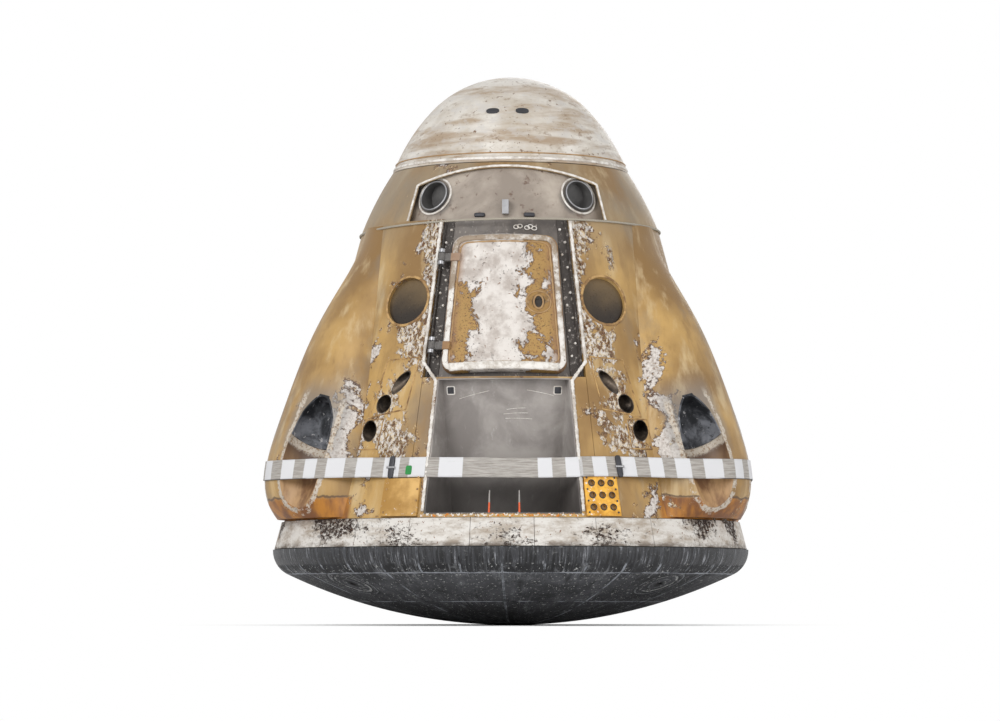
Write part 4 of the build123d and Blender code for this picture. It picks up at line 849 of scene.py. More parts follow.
def plate_on(name, centre, side, rise, half, thick, finish, body="hull", power=5.0):
    """A rounded plate: rings of a superellipse |x/a|^n + |y/b|^n = 1, its edge turned down, its top domed."""
    side, rise = unit(side), unit(rise)
    angle = circle(40)
    reach = (np.abs(np.cos(angle)) ** power + np.abs(np.sin(angle)) ** power) ** (-1 / power)
    share = np.array([1.0, 1.0, 0.985, 0.95, 0.85, 0.435, 0.02])[:, None]
    lift = np.concatenate([[-0.3, 0.75, 0.92, 1.0], 1.0 + 0.25 * (1 - share[4:, 0] ** 2)])
    flat_x, flat_y = share * reach * np.cos(angle) * half[0], share * reach * np.sin(angle) * half[1]
    points = centre + flat_x[..., None] * side + flat_y[..., None] * rise
    points = points + (lift * thick)[:, None, None] * np.cross(side, rise)
    return surface(name, points, sleeve_faces(len(share), len(angle)), finish, body)


def mount(centre, out):
    """A plate's centre, side and upward direction where it lies flat on a surface with this normal."""
    side = np.cross(PLUMB, out)
    return centre, side, np.cross(out, side)


# Thin scratches on the back, and a small blank plate in each upper corner
MAIN_BACK = ((1.310, 1.150), (1.450, 1.888))  # the liner's face: radius and height halfway up and at the top
SCRATCHES = [(-14.0, 1.735, -4.5, 1.795), (0.8, 1.652, 6.6, 1.664), (-0.2, 1.618, 7.4, 1.626)]
SCRATCHES += [(0.4, 1.584, 8.8, 1.580), (7.0, 1.800, 15.5, 1.758)]  # azimuth and height at each end
for index, (az_start, z_start, az_end, z_end) in enumerate(SCRATCHES):
    share = np.linspace(0, 1, 24)
    arc_z = z_start + (z_end - z_start) * share + 0.012 * share * (1 - share)
    scratch = on_cone(MAIN_BACK, az_start + (az_end - az_start) * share, arc_z, 0.0012)
    bead(f"bay_scratch_{index}", scratch, 0.0040, 0.0034, sealant, rough=0.2, sides=6)
BAY_PLATE = (16.6, 1.800)  # azimuth and height
for index, hand in enumerate((-1, 1)):
    place = mount(*on_cone(MAIN_BACK, hand * BAY_PLATE[0], BAY_PLATE[1]))
    plate_on(f"bay_plate_border_{index + 1}", *place, (0.034, 0.034), 0.003, sealant, power=9.0)
    plate_on(f"bay_plate_face_{index + 1}", *place, (0.026, 0.026), 0.0045, dark_metal, power=9.0)

# The drogue bay under the nose: two mortar mouths in recesses edged with white piping, and a lifting lug
# between them. The bay is a painted pressing let into the forward section.
mottled(
    "mortar_tubes", (40, 40, 42), (112, 110, 108), (10.0, 7.0, 0.65, 3.0), (30.0, 5.0, 0.6, 0.002),
    ("drogue_mortars",),
)
NECK = ((1.190, 3.150), (1.083, 3.388), (0.955, 3.610))  # radius and height of three points of its outline
ARCH_FOOT_HALF = 0.760
ARCH_TOP_HALF = 0.690
ARCH_SIDE_Z = (3.150, 3.440)
ARCH_APEX_Z = 3.565


def neck_radius(z):
    """Radius of the forward section: the circle through its three given points, solved for the height z."""
    (r1, z1), (r2, z2), (r3, z3) = NECK
    system = np.array([[2 * (r2 - r1), 2 * (z2 - z1)], [2 * (r3 - r1), 2 * (z3 - z1)]])
    sums = np.array([r2**2 + z2**2 - r1**2 - z1**2, r3**2 + z3**2 - r1**2 - z1**2])
    centre_r, centre_z = np.linalg.solve(system, sums)
    out = np.sqrt(math.hypot(r1 - centre_r, z1 - centre_z) ** 2 - (z - centre_z) ** 2)
    return centre_r + out, (z - centre_z) / out


# White piping on the arch: up its sides and over the top, at a given x read as azimuth
side_x = np.linspace(ARCH_FOOT_HALF, ARCH_TOP_HALF, 20) + 0.012
side_z = np.linspace(*ARCH_SIDE_Z, 20) + 0.005
top_x = np.linspace(ARCH_TOP_HALF + 0.010, -ARCH_TOP_HALF - 0.010, 60)[1:-1]
rise = ARCH_APEX_Z - ARCH_SIDE_Z[1]
arch_radius = (ARCH_TOP_HALF**2 + rise**2) / (2 * rise)
top_z = ARCH_APEX_Z - arch_radius + np.sqrt(arch_radius**2 - top_x**2) + 0.014
arch_x = np.concatenate([side_x, top_x, -side_x[::-1]])
arch_z = np.concatenate([side_z, top_z, side_z[::-1]])
arch_radius, arch_lean = neck_radius(arch_z)
piping = on_turned(np.degrees(np.arcsin(arch_x / arch_radius)), arch_z, arch_radius, arch_lean)
bead("drogue_bay_piping", piping, 0.020, 0.012, sealant, rough=0.12)

# Mortar mouths: a rolled rim on each tube, and a wide oval of piping round it on the bay's back
MORTAR_AZ = 33.0
MORTAR_Z = 3.350
MORTAR_R = 0.116
PIPING_R = 0.1455
BAY_BACK = ((1.113, 3.150), (0.938, 3.610))  # the liner's face: radius and height at its foot and at its top
MOUTH_LINES = (
    ("rim", MORTAR_R, 0.018, 0.012, 0.010, machined),
    ("piping", PIPING_R, 0.0, 0.017, 0.012, sealant),
)
for name, hand in HANDS:
    for part, radius, proud, wide, tall, finish in MOUTH_LINES:
        flat = ellipse(radius, radius * 0.985, circle(64))
        level = 1.030 - 0.38 * flat[:, 1]
        az = hand * MORTAR_AZ + np.degrees(flat[:, 0] / level)
        loop = on_cone(BAY_BACK, az, MORTAR_Z + flat[:, 1], proud)
        bead(f"mortar_{part}_{name}", loop, wide, tall, finish, closed=True, rough=0.06)

# Two dark cleats at the bay's foot, and a short row of pale line rings above the hatch
CLEAT_AZ = {"left": -10.5, "right": 9.5}
CLEAT_Z = 3.178
for name, az in CLEAT_AZ.items():
    plate_on(f"bay_cleat_{name}", *mount(*on_cone(BAY_BACK, az, CLEAT_Z)), (0.042, 0.016), 0.018, dark_metal)
LINE_RINGS = ((4.2, 3.098), (5.6, 3.104), (8.4, 3.092), (9.7, 3.102), (11.2, 3.088))  # azimuth and height
for index, (az, z) in enumerate(LINE_RINGS):
    loop = on_skin(az, z, ellipse(0.019, 0.0152, circle(64)[::3]), 0.008 - BAY_DEPTH)
    bead(f"line_ring_{index + 1}", loop, 0.008, 0.009, sealant, closed=True, sides=8)

# The windows: four round panes of smoked, heat-stained glass, clamped deep in the wall behind a bevelled
# seat. A thin gold rim of the same filler as on the hatch closes each on the outside.
WINDOW_AZ = 34.3
WINDOW_Z = 2.510
WINDOW_R = 0.190
glass = Finish("stained_glass", roughness=0.16)
glass.shader.inputs["Specular IOR Level"].default_value = 0.28
# The panes are painted lighter towards their top: a painted reflection over the glass's own smoked tone
painted_top_reflection = (glass.noise(2.6, 5.0, 0.6, 5.0, 0.5) * 0.35 + glass.z).step(2.52, 2.86)
glass_dust = glass.noise(60.0, 4.0, 0.7, 1.0)
glass_coat = painted_top_reflection.mix((46, 39, 33), (112, 93, 66))
glass_coat = (glass_dust.step(0.60, 0.72) * 0.16).mix(glass_coat, (150, 136, 116))
dress(glass.wear(glass_coat, roughness=glass_dust * 0.3 + 0.16), "window_panes")
rim_gold = mottled(
    "window_rim", (120, 88, 50), (184, 148, 94), (12.0, 6.0, 0.65, 6.0), (50.0, 4.0, 0.6, 0.002),
    ramp=(0.38, 0.62), roughness=0.55, slot="gold_plate",
)
for name, az in (("fl", -WINDOW_AZ), ("fr", WINDOW_AZ), ("rl", 180 + WINDOW_AZ), ("rr", 180 - WINDOW_AZ)):
    rim = on_skin(az, WINDOW_Z, ellipse(WINDOW_R + 0.010, WINDOW_R + 0.010, circle(32)), 0.0)
    bead(f"window_rim_{name}", rim, 0.022, 0.009, rim_gold, closed=True, rough=0.03)

# The thrusters: short bells of spun niobium, browned by heat outside and sooty inside, sunk in scarfed
# wells and held by a flange behind the skin.
mottled(
    "thruster_bells", (38, 33, 30), (104, 92, 80), (9.0, 6.0, 0.6, 4.0, 0.3), (60.0, 5.0, 0.6, 0.001),
    ("thrusters",), (0.35, 0.7), roughness=0.42, metallic=0.75,
)

# Access panels round the thrusters: plates of the wall's own make, let in flush and screwed down. Their
# edges are filled with a gold bead.
PANEL_CORNERS = {  # azimuth and height of each corner
    "upper": ((26.2, 2.060), (28.4, 1.655), (40.8, 1.600), (37.6, 2.045)),
    "lower": ((35.4, 1.586), (35.8, 1.352), (42.8, 1.352), (42.6, 1.582)),
}
QUARTERS = {"fl": (-1, 0), "fr": (1, 0), "rl": (1, 180), "rr": (-1, 180)}  # sense and start of the azimuth
for panel, corners in PANEL_CORNERS.items():
    corners = np.array(corners)
    run = np.linspace(0, 1, 22, endpoint=False)[None, :, None]
    outline = corners[:, None] * (1 - run) + np.roll(corners, -1, axis=0)[:, None] * run
    panel_az, panel_z = outline.reshape(-1, 2).T
    for quarter, (hand, rear) in QUARTERS.items():
        line = on_cone(WALL, rear + hand * panel_az, panel_z)
        bead(f"panel_edge_{panel}_{quarter}", line, 0.011, 0.005, rim_gold, closed=True, rough=0.2)

# The abort engines: cast metal bells that open in the flanks of the pods, mottled blue-grey by their own
# heat. They are bolted to the frame behind the pods.
ENGINE_SPOTS = (22.0, 7.0, 0.72, 5.0)
mottled(
    "abort_engine_bells", (24, 26, 31), (116, 118, 124), (4.2, 7.0, 0.62, 8.0, 0.6), (40.0, 5.0, 0.65, 0.002),
    ("abort_engines",), (0.38, 0.64), roughness=0.72, metallic=0.2,
    spots=[(ENGINE_SPOTS, (0.60, 0.66), (168, 166, 166)), (ENGINE_SPOTS, (0.40, 0.35), (12, 12, 14))],
)

# The connector plate: an anodised block with nine sockets beside the foot of the bay. The service panel
# on the other side is a blank gold cover held by a row of screws along each side.
mottled(
    "gold_anodised", (176, 122, 30), (222, 168, 62), (9.0, 7.0, 0.66, 7.0), (60.0, 4.0, 0.6, 0.001),
    ("connector_plate",), (0.36, 0.62), [((28.0, 5.0, 0.7), (0.60, 0.66), FLAKE)],
    roughness=0.42, metallic=0.35,
)
mottled(
    "service_cover", (160, 118, 48), (208, 166, 96), (4.0, 7.0, 0.6, 9.0), (45.0, 4.0, 0.6, 0.0012),
    ("service_panel",), (0.36, 0.64), [((22.0, 6.0, 0.7), (0.62, 0.68), FLAKE)], roughness=0.5,
)
# A dark steel collar in each socket, and four small screws down each side
PLATE_AZ = (20.5, 29.5)
PLATE_Z = (0.832, 1.140)
PLATE_THICK = 0.016
COVER_THICK = 0.026
SOCKET_R = 0.0235
SOCKET_STEP = (2.6, 0.092)
SCREW_IN = (0.7, 0.022)
for index in range(9):
    row, column = divmod(index, 3)
    socket_az = np.mean(PLATE_AZ) + SOCKET_STEP[0] * (column - 1)
    socket_z = np.mean(PLATE_Z) + SOCKET_STEP[1] * (row - 1)
    collar = on_skin(socket_az, socket_z, ellipse(SOCKET_R, SOCKET_R, circle(32)), PLATE_THICK)
    bead(f"socket_collar_{index}", collar, 0.008, 0.009, dark_metal, closed=True, sides=8)
screw_az = np.tile([PLATE_AZ[0] + SCREW_IN[0], PLATE_AZ[1] - SCREW_IN[0]], 4)
screw_z = np.repeat(np.linspace(PLATE_Z[0] + SCREW_IN[1], PLATE_Z[1] - SCREW_IN[1], 4), 2)
bolt_heads("connector_screws", on_cone(WALL, screw_az, screw_z, PLATE_THICK), 0.008, 0.005, dark_metal)
cover_screws = on_cone(WALL, np.tile([-0.2, -1.2], 4) - screw_az, screw_z, COVER_THICK)
bolt_heads("service_screws", cover_screws, 0.009, 0.005, rim_gold)

# The nose cone: a white shell that has tanned and browned, in soft bands round it, with two dark inspection
# covers high on its front. A white bead and a gold one close its seam. Inside it is primed and ribbed.
NOSE_FOOT = (0.950, 3.616)
NOSE_BREAK = (0.640, 4.120)
NOSE_SAG = 0.0288
NOSE_T = 0.045
MID_SHELL = ((3.63, 0.922), (3.80, 0.842), (4.00, 0.711), (4.20, 0.519), (4.3775, 0.0))  # height and radius
nose_skin = Finish("nose_paint", roughness=0.55)
nose_z = nose_skin.z
nose_bands = nose_skin.noise(2.6, 7.0, 0.64, 6.0, 0.3, (0.45, 0.45, 3.2))
nose_cloud = nose_skin.noise(2.2, 6.0, 0.6, 3.0)
nose_scuff = nose_skin.noise(26.0, 6.0, 0.7, 4.0)
nose_film = nose_skin.noise(7.0, 9.0, 0.75, 12.0, stretch=(0.8, 0.8, 1.8))
# The inside begins where r^2 is less than a parabola of the height, laid through the middle of the shell
mid_z, mid_r = np.array(MID_SHELL).T
square, slope, start = np.polyfit(mid_z, mid_r**2, 2).tolist()
nose_inner = nose_skin.x**2 + nose_skin.y**2 < (nose_z * square + slope) * nose_z + start
nose_coat = layers(
    nose_cloud.step(0.36, 0.64).mix((186, 176, 162), (216, 211, 203)),
    (nose_bands.step(0.45, 0.64) * 0.8, (160, 138, 112)),
    (nose_film.step(0.50, 0.60) * 0.55, (196, 192, 188)),
    (nose_film.step(0.44, 0.36) * 0.6, (132, 108, 84)),
    (nose_z.step(3.95, 3.64) * nose_bands.step(0.42, 0.58) * 0.55, (142, 118, 92)),
    (nose_scuff.step(0.60, 0.67), (112, 86, 64)),
    (nose_inner, nose_cloud.step(0.40, 0.62).mix((138, 142, 138), (172, 174, 170))),
)
dress(nose_skin.wear(nose_coat, nose_scuff + nose_bands, 0.0016), "nose_cone")


def on_nose(az, z, height=0.0):
    """Points and normals on the nose cone's lower part: a straight slope that swells by a parabola."""
    (foot_r, foot_z), (break_r, break_z) = NOSE_FOOT, NOSE_BREAK
    share = (z - foot_z) / (break_z - foot_z)
    lean = (foot_r - break_r) / (break_z - foot_z)
    swell = 4 * NOSE_SAG * math.hypot(1.0, lean)
    radius = foot_r + (break_r - foot_r) * share + swell * share * (1 - share)
    return on_turned(az, z, radius, lean - swell * (1 - 2 * share) / (break_z - foot_z), height)


# The seam's two beads
seam_az = np.degrees(circle(180))
for name, rise, finish, wide in (("white", 0.030, sealant, 0.022), ("gold", 0.072, amber_line, 0.010)):
    seam = on_nose(seam_az, NOSE_FOOT[1] + rise)
    bead(f"nose_seam_{name}", seam, wide, 0.008, finish, "nose_cone", closed=True, rough=0.15)
# Inside: three ring ribs and eleven upright ones, pressed channels riveted to the shell
rib_metal = mottled(
    "rib_primer", (112, 116, 112), (160, 162, 158), (9.0, 5.0, 0.6), (80.0, 3.0, 0.6, 0.0006),
    roughness=0.5, metallic=0.3, slot="nose_white",
)
RIB_Z = (3.735, 3.900, 4.060)
ribs = {f"ring_rib_{index + 1}": (seam_az, z, 0.030, 0.022, True) for index, z in enumerate(RIB_Z)}
RIB_RUN = np.linspace(3.690, 4.095, 24)
for index in range(11):
    ribs[f"upright_rib_{index + 1}"] = (30.0 * index - 150.0, RIB_RUN, 0.026, 0.018, False)
for name, (az, z, wide, tall, closed) in ribs.items():
    rib, rib_out = on_nose(az, z, -NOSE_T)
    bead(f"nose_{name}", (rib, -rib_out), wide, tall, rib_metal, "nose_cone", closed, sides=8)
COVER_AZ = 9.5
COVER_Z = 4.045
for name, hand in HANDS:
    place = mount(*on_nose(hand * COVER_AZ, COVER_Z))
    plate_on(f"nose_cover_{name}", *place, (0.052, 0.030), 0.006, dark_metal, "nose_cone", power=2.4)

# The docking ring under the nose: a flange, collar and capture ring of machined aluminium, two black rubber
# seals let into the ring, and a row of bolts round the flange.
mottled(
    "docking_metal", (96, 98, 102), (176, 176, 174), (6.0, 5.0, 0.6, 5.0), (70.0, 3.0, 0.5, 0.0005),
    ("docking_ring",), roughness=0.34, metallic=0.8,
)
seal_rubber = mottled(
    "seal_rubber", (26, 26, 28), (58, 58, 60), (30.0, 4.0, 0.6), (120.0, 3.0, 0.6, 0.0006),
    roughness=0.65, slot="display_black",
)
BOLT_TURN = circle(30) + math.radians(6)
DOCKING_SEALS = ((0.455, 3.720), (0.482, 3.720))  # radius and height, as in the next
FLANGE_BOLTS = (0.690, 3.640)


def flat_ring(radius, z, turn):
    """Points on a level circle, and normals that point up."""
    points = np.stack([radius * np.sin(turn), -radius * np.cos(turn), np.full(len(turn), z)], axis=-1)
    return points, np.tile(PLUMB, (len(turn), 1))


for index, seal in enumerate(DOCKING_SEALS):
    bead(f"docking_seal_{index}", flat_ring(*seal, circle(180)), 0.013, 0.010, seal_rubber, closed=True)
bolt_heads("docking_flange_bolts", flat_ring(*FLANGE_BOLTS, BOLT_TURN), 0.012, 0.010, machined)

# The forward hatch: a machined aluminium lid with a raised boss, closed by its own hinge. A ring of dark
# bolts goes round it.
lid_metal = mottled(
    "hatch_lid", (150, 150, 150), (206, 206, 204), (7.0, 5.0, 0.6, 2.0), (50.0, 3.0, 0.5, 0.0006),
    ("forward_hatch",), roughness=0.5, metallic=0.3, slot="bare_metal",
)
LID_BOLTS = (0.430, 3.294)  # radius and height
lid_bolts = flat_ring(*LID_BOLTS, BOLT_TURN[::2])
bolt_heads("forward_hatch_bolts", lid_bolts, 0.011, 0.009, dark_metal, "forward_hatch")

# The inside of the side hatch: a rubber seal round its plug, a machined gearbox with a folding handle in the
# middle, and four latch rods that run from it to the edges in small guides.
hatch_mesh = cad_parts["side_hatch"].data
hatch_mesh.calc_loop_triangles()
hatch_points = read(hatch_mesh.vertices, "co", 3, float).tolist()
hatch_tree = BVHTree.FromPolygons(hatch_points, read(hatch_mesh.loop_triangles, "vertices", 3).tolist())
HATCH_OUT = np.array([0.0, -math.cos(WALL_TILT), math.sin(WALL_TILT)])
HATCH_UP = np.array([0.0, math.sin(WALL_TILT), math.cos(WALL_TILT)])
HATCH_MIDDLE = np.array([0.0, -wall_radius(HATCH_MID_Z), HATCH_MID_Z])


def on_hatch_inside(plane_points):
    """Points and inward normals on the hatch's inner face, found by rays sent outwards from the cabin."""
    starts = HATCH_MIDDLE + plane_points @ [SIDEWAYS, HATCH_UP] - HATCH_OUT
    hits = [hatch_tree.ray_cast(Vector(start), Vector(HATCH_OUT)) for start in starts.tolist()]
    return tuple(np.array([tuple(hit[part]) for hit in hits]) for part in (0, 1))


def tube(name, path, radius, finish, body="hull", sides=10, mapped=False):
    """A round tube along a path: circles set square to the path on a frame carried along from a fixed up.

    A mapped one has a UV map, in metres along and shares of the turn across.
    """
    tangent = unit(np.gradient(path, axis=0))
    across = unit(np.cross(SIDEWAYS if abs(tangent.mean(axis=0)[2]) > 0.8 else PLUMB, tangent))
    angle = circle(sides)[:, None]
    ring = np.cos(angle) * across[:, None] + np.sin(angle) * np.cross(tangent, across)[:, None]
    points = path[:, None] + ring * np.broadcast_to(radius, len(path))[:, None, None]
    faces = [face[::-1] for face in sleeve_faces(len(path), sides)]
    shares = np.meshgrid(walked(path), np.linspace(0, 1, sides), indexing="ij")
    return surface(name, points, faces, finish, body, uv=np.stack(shares, axis=-1) if mapped else None)


def walked(path):
    """How far along a path each of its points lies."""
    return np.concatenate([[0.0], np.cumsum(np.linalg.norm(np.diff(path, axis=0), axis=1))])


PLUG_INSET = 0.120
HANDLE_RISE = 0.055
HANDLE_LENGTH = 0.150
plug_edge = on_hatch_inside(hatch_outline(PLUG_INSET))
bead("hatch_seal", plug_edge, 0.022, 0.016, seal_rubber, "side_hatch", closed=True)
(box_centre,), (box_out,) = on_hatch_inside(np.zeros((1, 2)))
box_out = unit(box_out)
box_up = np.cross(box_out, SIDEWAYS)
box = (box_centre, SIDEWAYS, box_up)
plate_on("hatch_gearbox_base", *box, (0.120, 0.090), 0.022, lid_metal, "side_hatch", power=6.0)
plate_on("hatch_gearbox_cover", *box, (0.085, 0.060), 0.034, machined, "side_hatch", power=6.0)
handle_share = np.linspace(-0.5, 0.5, 40)[:, None]
handle_lift = 0.030 + HANDLE_RISE * np.clip(1 - (2 * handle_share) ** 6, 0, 1)
handle = box_centre + handle_share * HANDLE_LENGTH * box_up + handle_lift * box_out
tube("hatch_handle", handle, 0.009, dark_metal, "side_hatch", sides=12)
ROD_ENDS = {"up": ((0.0, 0.095), (0.0, 0.400)), "down": ((0.0, -0.095), (0.0, -0.400))}
ROD_ENDS |= {"left": ((-0.125, 0.0), (-0.300, 0.0)), "right": ((0.125, 0.0), (0.300, 0.0))}
for name, ends in ROD_ENDS.items():
    rod, rod_out = on_hatch_inside(np.linspace(*ends, 24))
    tube(f"hatch_rod_{name}", rod + rod_out * 0.012, 0.008, machined, "side_hatch")
    guides = (rod[[5, 19]], rod_out[[5, 19]])
    bolt_heads(f"hatch_rod_guides_{name}", guides, 0.019, 0.022, lid_metal, "side_hatch", sides=12)

# The cabin: a floor of dimpled, painted sheet, four moulded seats bolted to a light frame, and a dark glass
# display on two stands.
floor_sheet = Finish("cabin_floor_sheet", roughness=0.55)
floor_coat = floor_sheet.noise(3.0, 5.0, 0.6).mix((126, 128, 130), (170, 172, 174))
floor_cells = add_node(floor_sheet.tree, "TexVoronoi", {"Vector": floor_sheet.place, "Scale": 30.0})
dress(floor_sheet.wear(floor_coat, floor_cells.outputs["Distance"], 0.0012), "cabin_floor")
mottled(
    "seat_shell", (168, 168, 170), (216, 216, 216), (5.0, 5.0, 0.6), (70.0, 3.0, 0.6, 0.0006), ("seats",),
    roughness=0.45,
)
mottled(
    "display_glass", (14, 15, 18), (32, 34, 40), (3.0, 3.0, 0.5), (60.0, 2.0, 0.5, 0.0002),
    ("display_panel",), roughness=0.12,
)

# The seat pads: thin foam under grey suede, one on the back and one under the legs of each seat. They are
# sewn across in channels and held to the shell by hook and loop tape.
pad_suede = mottled(
    "pad_suede", (84, 86, 90), (122, 124, 128), (40.0, 5.0, 0.7), (160.0, 3.0, 0.6, 0.0008),
    roughness=0.9, slot="cabin_white",
)
SEAT_X = (-0.75, -0.25, 0.25, 0.75)
SEAT_HIP = np.array([0.0, 0.0, 1.665])
SEAT_ENDS = {"back": ((-0.380, 1.965), 0.045), "leg": ((0.620, 1.935), 0.060)}  # far end, and gap at the hip
PAD_HALF = 0.195
PAD_THICK = 0.034
PAD_CHANNEL = 0.090


def crowned_pad(name, middle, along, up, half_long):
    """A stuffed pad: crowned, with sewn channels and with sides that pull in between its corners.

    On a grid of u and v from -1 to 1 the height is thick (1 - u^6)(1 - v^6) to the power 0.4, less a groove
    exp(-(d / 7 mm)^2) at each seam, d being the way to the nearest multiple of the channel's width.
    """
    u, v = np.meshgrid(np.linspace(-1, 1, 61), np.linspace(-1, 1, 37), indexing="ij")
    crown = np.clip((1 - u**6) * (1 - v**6), 0, 1) ** 0.4
    run = u * half_long
    off_seam = run - np.round(run / PAD_CHANNEL) * PAD_CHANNEL
    groove = 0.33 * np.exp(-((off_seam / 0.007) ** 2)) * crown
    pull = 1 - 0.03 * (1 - u**2)
    flat = middle + run[..., None] * along + (v * PAD_HALF * pull)[..., None] * SIDEWAYS
    top = flat + (PAD_THICK * (crown * 0.9 - groove) + 0.0012)[..., None] * up
    faces = grid_faces(*u.shape)
    index = np.arange(u.size).reshape(u.shape)
    rim = np.concatenate([index[0], index[1:, -1], index[-1, ::-1][1:], index[::-1, 0][1:-1]])
    wall = np.stack([rim, rim + u.size, np.roll(rim, -1) + u.size, np.roll(rim, -1)], axis=-1)
    if np.dot(np.cross(along, SIDEWAYS), up) < 0:
        faces, wall = faces[:, ::-1], wall[:, ::-1]
    shell = np.concatenate([faces, faces[:, ::-1] + u.size, wall[:, ::-1]])
    return surface(name, np.stack([top, flat + 0.0006 * up]), shell, pad_suede, "hull")


for part, (far, gap) in SEAT_ENDS.items():
    reach = np.array([0.0, *far]) - SEAT_HIP
    along = unit(reach)
    up = np.array([0.0, -along[2], along[1]])
    up = up if up[2] > 0 else -up
    half_long = (np.linalg.norm(reach) - gap - 0.020) / 2
    for index, seat_x in enumerate(SEAT_X):
        middle = SEAT_HIP + along * (gap + half_long) + SIDEWAYS * seat_x
        crowned_pad(f"seat_{part}_pad_{index + 1}", middle, along, up, half_long)

# The waist belt: a broad polyester webbing drawn tight round the capsule above the foot, with patches of
# white reflective tape sewn on at even steps, two steel ratchet buckles and one small green tag.
BELT_LOW = 1.130
BELT_HIGH = 1.285
BELT_THICK = 0.007
BELT_OFF = 0.008  # from the wall to the line that the belt follows
BELT_POINTS = 480
BELT_STEP = 0.245  # from one patch of tape to the next
BELT_TAPE = 0.135
BARE_FRONT = (-0.30, 0.26)  # no tape is left this far each way from the middle of the front
WEAVE = (1100.0, 210.0)  # radians of the weave per metre along and over the belt's width
BELTED = ("wall_", "abort_pod", "connector", "service_p")
OUTER_SKIN = [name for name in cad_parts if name.startswith(BELTED)]


def taut_ring(level):
    """The tight line round everything at one height, seen from above.

    For each of many directions the point that lies furthest that way is picked, which gives the corners of
    the convex hull in order. Their outline is divided evenly by length and moved a little outwards.
    """
    clouds = []
    for name in OUTER_SKIN:
        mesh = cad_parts[name].data
        start, end = read(mesh.vertices, "co", 3, float)[read(mesh.edges, "vertices", 2).T]
        spans = (np.minimum(start[:, 2], end[:, 2]) <= level) & (np.maximum(start[:, 2], end[:, 2]) > level)
        start, end = start[spans], end[spans]
        share = (level - start[:, 2]) / (end[:, 2] - start[:, 2])
        clouds.append((start + share[:, None] * (end - start))[:, :2])
    cloud = np.concatenate(clouds)
    angle = circle(1440)
    furthest = np.argmax(cloud @ np.stack([np.sin(angle), -np.cos(angle)]), axis=0)
    corners = cloud[furthest[furthest != np.roll(furthest, 1)]]
    loop = np.concatenate([corners, corners[:1]])
    run = walked(loop)
    even = np.linspace(0, run[-1], BELT_POINTS, endpoint=False)
    ring = np.stack([np.interp(even, run, axis) for axis in loop.T], axis=-1)
    for _ in range(2):
        ring = (np.roll(ring, 1, axis=0) + 2 * ring + np.roll(ring, -1, axis=0)) / 4
    outward = unit(ahead_of(ring)[:, ::-1] * (1, -1))
    return ring + outward * BELT_OFF, outward, even


low_ring, belt_out, belt_run = taut_ring(BELT_LOW + 0.002)
upper = taut_ring(BELT_HIGH + 0.002)[0]
# The upper edge is read at the lower edge's azimuths, so that the weave stands upright
belt_turn, upper_turn = (np.degrees(np.arctan2(ring[:, 0], -ring[:, 1])) for ring in (low_ring, upper))
upper_reach = np.interp(belt_turn, upper_turn, np.hypot(*upper.T), period=360.0)
high_ring = unit(low_ring) * upper_reach[:, None]
over_bay = np.clip(1 - (belt_turn / 21.0) ** 2, 0, 1)
belt_drop = -0.010 * over_bay + 0.003 * np.sin(belt_run * 5.2)
# The belt's section: shares of its thickness outwards and of its width upwards
section = [(0.0, 0.0), (1.0, 0.012), (1.0, 0.12), (1.25, 0.5)]
section += [(1.0, 0.88), (1.0, 0.988), (0.0, 1.0), (0.0, 0.5)]
out_share, up_share = np.array(section).T
belt_ring = low_ring[:, None] * (1 - up_share[:, None]) + high_ring[:, None] * up_share[:, None]
belt_ring = belt_ring + belt_out[:, None] * (out_share * BELT_THICK)[:, None]
belt_z = BELT_LOW + (BELT_HIGH - BELT_LOW) * up_share + belt_drop[:, None]
belt_points = np.concatenate([belt_ring, belt_z[..., None]], axis=-1)
belt_uv = np.stack(np.broadcast_arrays(belt_run[:, None], up_share), axis=-1)

webbing = Finish("belt_webbing", roughness=0.7, slot="white_band", place="UV")
along, across = webbing.x, webbing.y
uneven = webbing.noise(1.9, 2.0, 0.5, 3.0, stretch=(1.0, 0.0, 0.0)) * 0.34 + along
wobble = webbing.noise(26.0, 3.0, 0.6) * 0.05 + (uneven * (1 / BELT_STEP)).fraction()
front_run = float(belt_run[np.argmin(np.abs(belt_turn))])
bare_front = (along - front_run).window(*BARE_FRONT, 0.004)
taped = wobble.window(0.03, 0.03 + BELT_TAPE / BELT_STEP, 0.012) * (1.0 - bare_front)
dirt = webbing.noise(7.0, 8.0, 0.7, 2.0, stretch=(1.0, 3.0, 1.0))
weave = (across * WEAVE[1]).sine()
# Painted shadow: the belt's lowest strip is darkened in patches
painted_edge_shadow = across.step(0.06, 0.0) * webbing.noise(2.2, 2.0, 0.5, 7.0).step(0.5, 0.58)
belt_coat = layers(
    dirt.step(0.34, 0.68).mix((142, 136, 129), (192, 187, 181)),
    (weave * 0.05 + 0.05, (84, 78, 72)),
    (taped, dirt.step(0.62, 0.74).mix((216, 216, 218), (180, 176, 170))),
    (painted_edge_shadow, (52, 50, 48)),
)
webbing.wear(belt_coat, weave * 0.5 + (along * WEAVE[0]).sine() * 0.4, 0.0007)
belt_faces = grid_faces(len(low_ring), len(section), True, True)
surface("waist_belt", belt_points, belt_faces, webbing, "hull", uv=belt_uv)

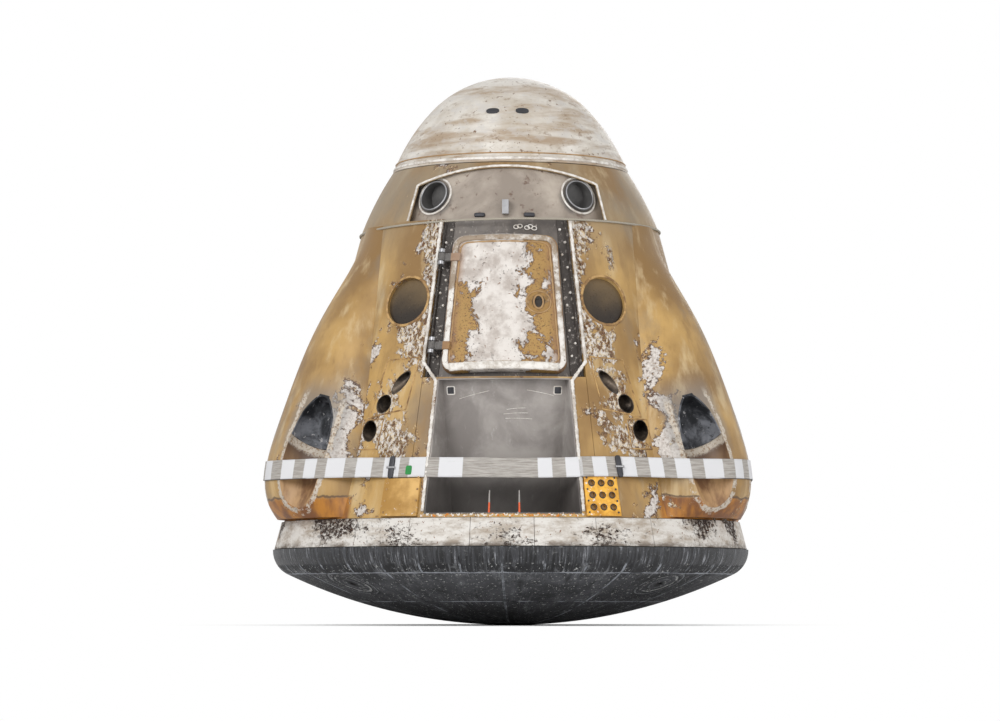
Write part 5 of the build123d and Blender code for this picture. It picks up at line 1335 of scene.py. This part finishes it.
tag_green = mottled(
    "green_tag", (10, 104, 40), (26, 140, 62), (40.0, 4.0, 0.6), (90.0, 3.0, 0.6, 0.0005), slot="gold_plate"
)
BELT_FITTINGS = {  # azimuth, half width and height, thickness, share of the way up, finish
    "buckle_left": (-29.5, (0.022, 0.088), 0.013, 0.5, dark_metal),
    "buckle_right": (30.2, (0.022, 0.088), 0.013, 0.5, dark_metal),
    "green_tag": (-24.6, (0.026, 0.036), 0.003, 0.36, tag_green),
}
for name, (az, half, thick, share, finish) in BELT_FITTINGS.items():
    index = int(np.argmin(np.abs(belt_turn - az)))
    slope = np.append(high_ring[index] - low_ring[index], BELT_HIGH - BELT_LOW)
    ahead = unit(np.append(low_ring[(index + 2) % len(low_ring)] - low_ring[index - 2], 0.0))
    out = np.append(belt_out[index], 0.0)
    middle = belt_points[index, 0] + slope * share + out * BELT_THICK * 1.2
    plate_on(name, middle, ahead, slope, half, thick, finish)
    if name.startswith("buckle"):
        bar = middle + out * 0.016 + np.linspace(-0.034, 0.034, 9)[:, None] * ahead
        tube(f"{name}_bar", bar, 0.009, machined, sides=12)

# The neck line: a thin pale rope of three laid strands, pulled tight round the forward section over the
# drogue bay's foot.
NECK_LINE_R = 0.0085
NECK_LINE_Z = 3.134
LAY = (380.0, 18.85)  # radians of the rope's lay per metre along and once round it
neck_line = Finish("neck_rope", roughness=0.75, slot="white_band", place="UV")
lay = (neck_line.y * LAY[1] + neck_line.x * LAY[0]).sine()
# The crests of the strands are painted lighter and the grooves between them darker: painted shade
neck_line.wear((lay * 0.3 + 0.5).mix((120, 112, 100), (196, 188, 172)), lay, 0.0012)
line_turn = np.radians(np.linspace(-180, 180, 300, endpoint=False))
line_z = NECK_LINE_Z + 0.016 * np.sin(line_turn) + 0.006 * np.cos(2 * line_turn)
line_r = wall_radius(line_z) + NECK_LINE_R * 1.05
line_points = np.stack([line_r * np.sin(line_turn), -line_r * np.cos(line_turn), line_z], axis=-1)
tube("neck_line", np.concatenate([line_points, line_points[:1]]), NECK_LINE_R, neck_line, mapped=True)

# The torn filler along the bay's foot: orange and white lumps on the insulation's upper edge, and two thin
# orange-tipped rods that stand up from it.
FILLER_SPOTS = (17.0, 3.0, 0.5, 4.0)
filler = mottled(
    "torn_filler", (226, 220, 212), (206, 124, 36), FILLER_SPOTS, (70.0, 5.0, 0.7, 0.004), ramp=(0.52, 0.56),
    spots=[(FILLER_SPOTS, (0.36, 0.32), (96, 58, 34))], roughness=0.8, slot="white_band",
)
foot_az = np.linspace(-20.2, 20.2, 220)
wander = np.sin(foot_az * 2.3) + np.sin(foot_az * 5.1 + 1.0) + np.sin(foot_az * 9.7 + 2.0)
FILLER_LINES = ((0.840, -0.012, 0.030, 0.022), (0.846, -0.045, 0.034, 0.028))
for index, (raise_z, depth, wide, tall) in enumerate(FILLER_LINES):
    foot_line, foot_out = on_cone(WALL, foot_az, raise_z + 0.004 * wander, depth)
    lumps = (foot_line, PLUMB * 0.8 + foot_out * 0.2)
    bead(f"bay_foot_filler_{index}", lumps, wide, tall, filler, rough=0.32, sink=0.5)
rod_paint = Finish("probe_rods", roughness=0.5, slot="dark_metal")
rod_coat = rod_paint.z.step(0.93, 0.935).mix((222, 92, 40), (150, 146, 142))
rod_paint.wear(rod_paint.noise(60.0, 4.0, 0.6).step(0.55, 0.75).mix(rod_coat, (90, 84, 80)))
ROD_AZ = {"left": -3.4, "right": 4.2}
ROD_Z = np.linspace(0.842, 1.040, 14)
ROD_R = np.linspace(0.009, 0.005, 14)
ROD_DEPTH = 0.060  # behind the wall's outer face
for name, az in ROD_AZ.items():
    tube(f"bay_rod_{name}", on_cone(WALL, az, ROD_Z, -ROD_DEPTH)[0], ROD_R, rod_paint)
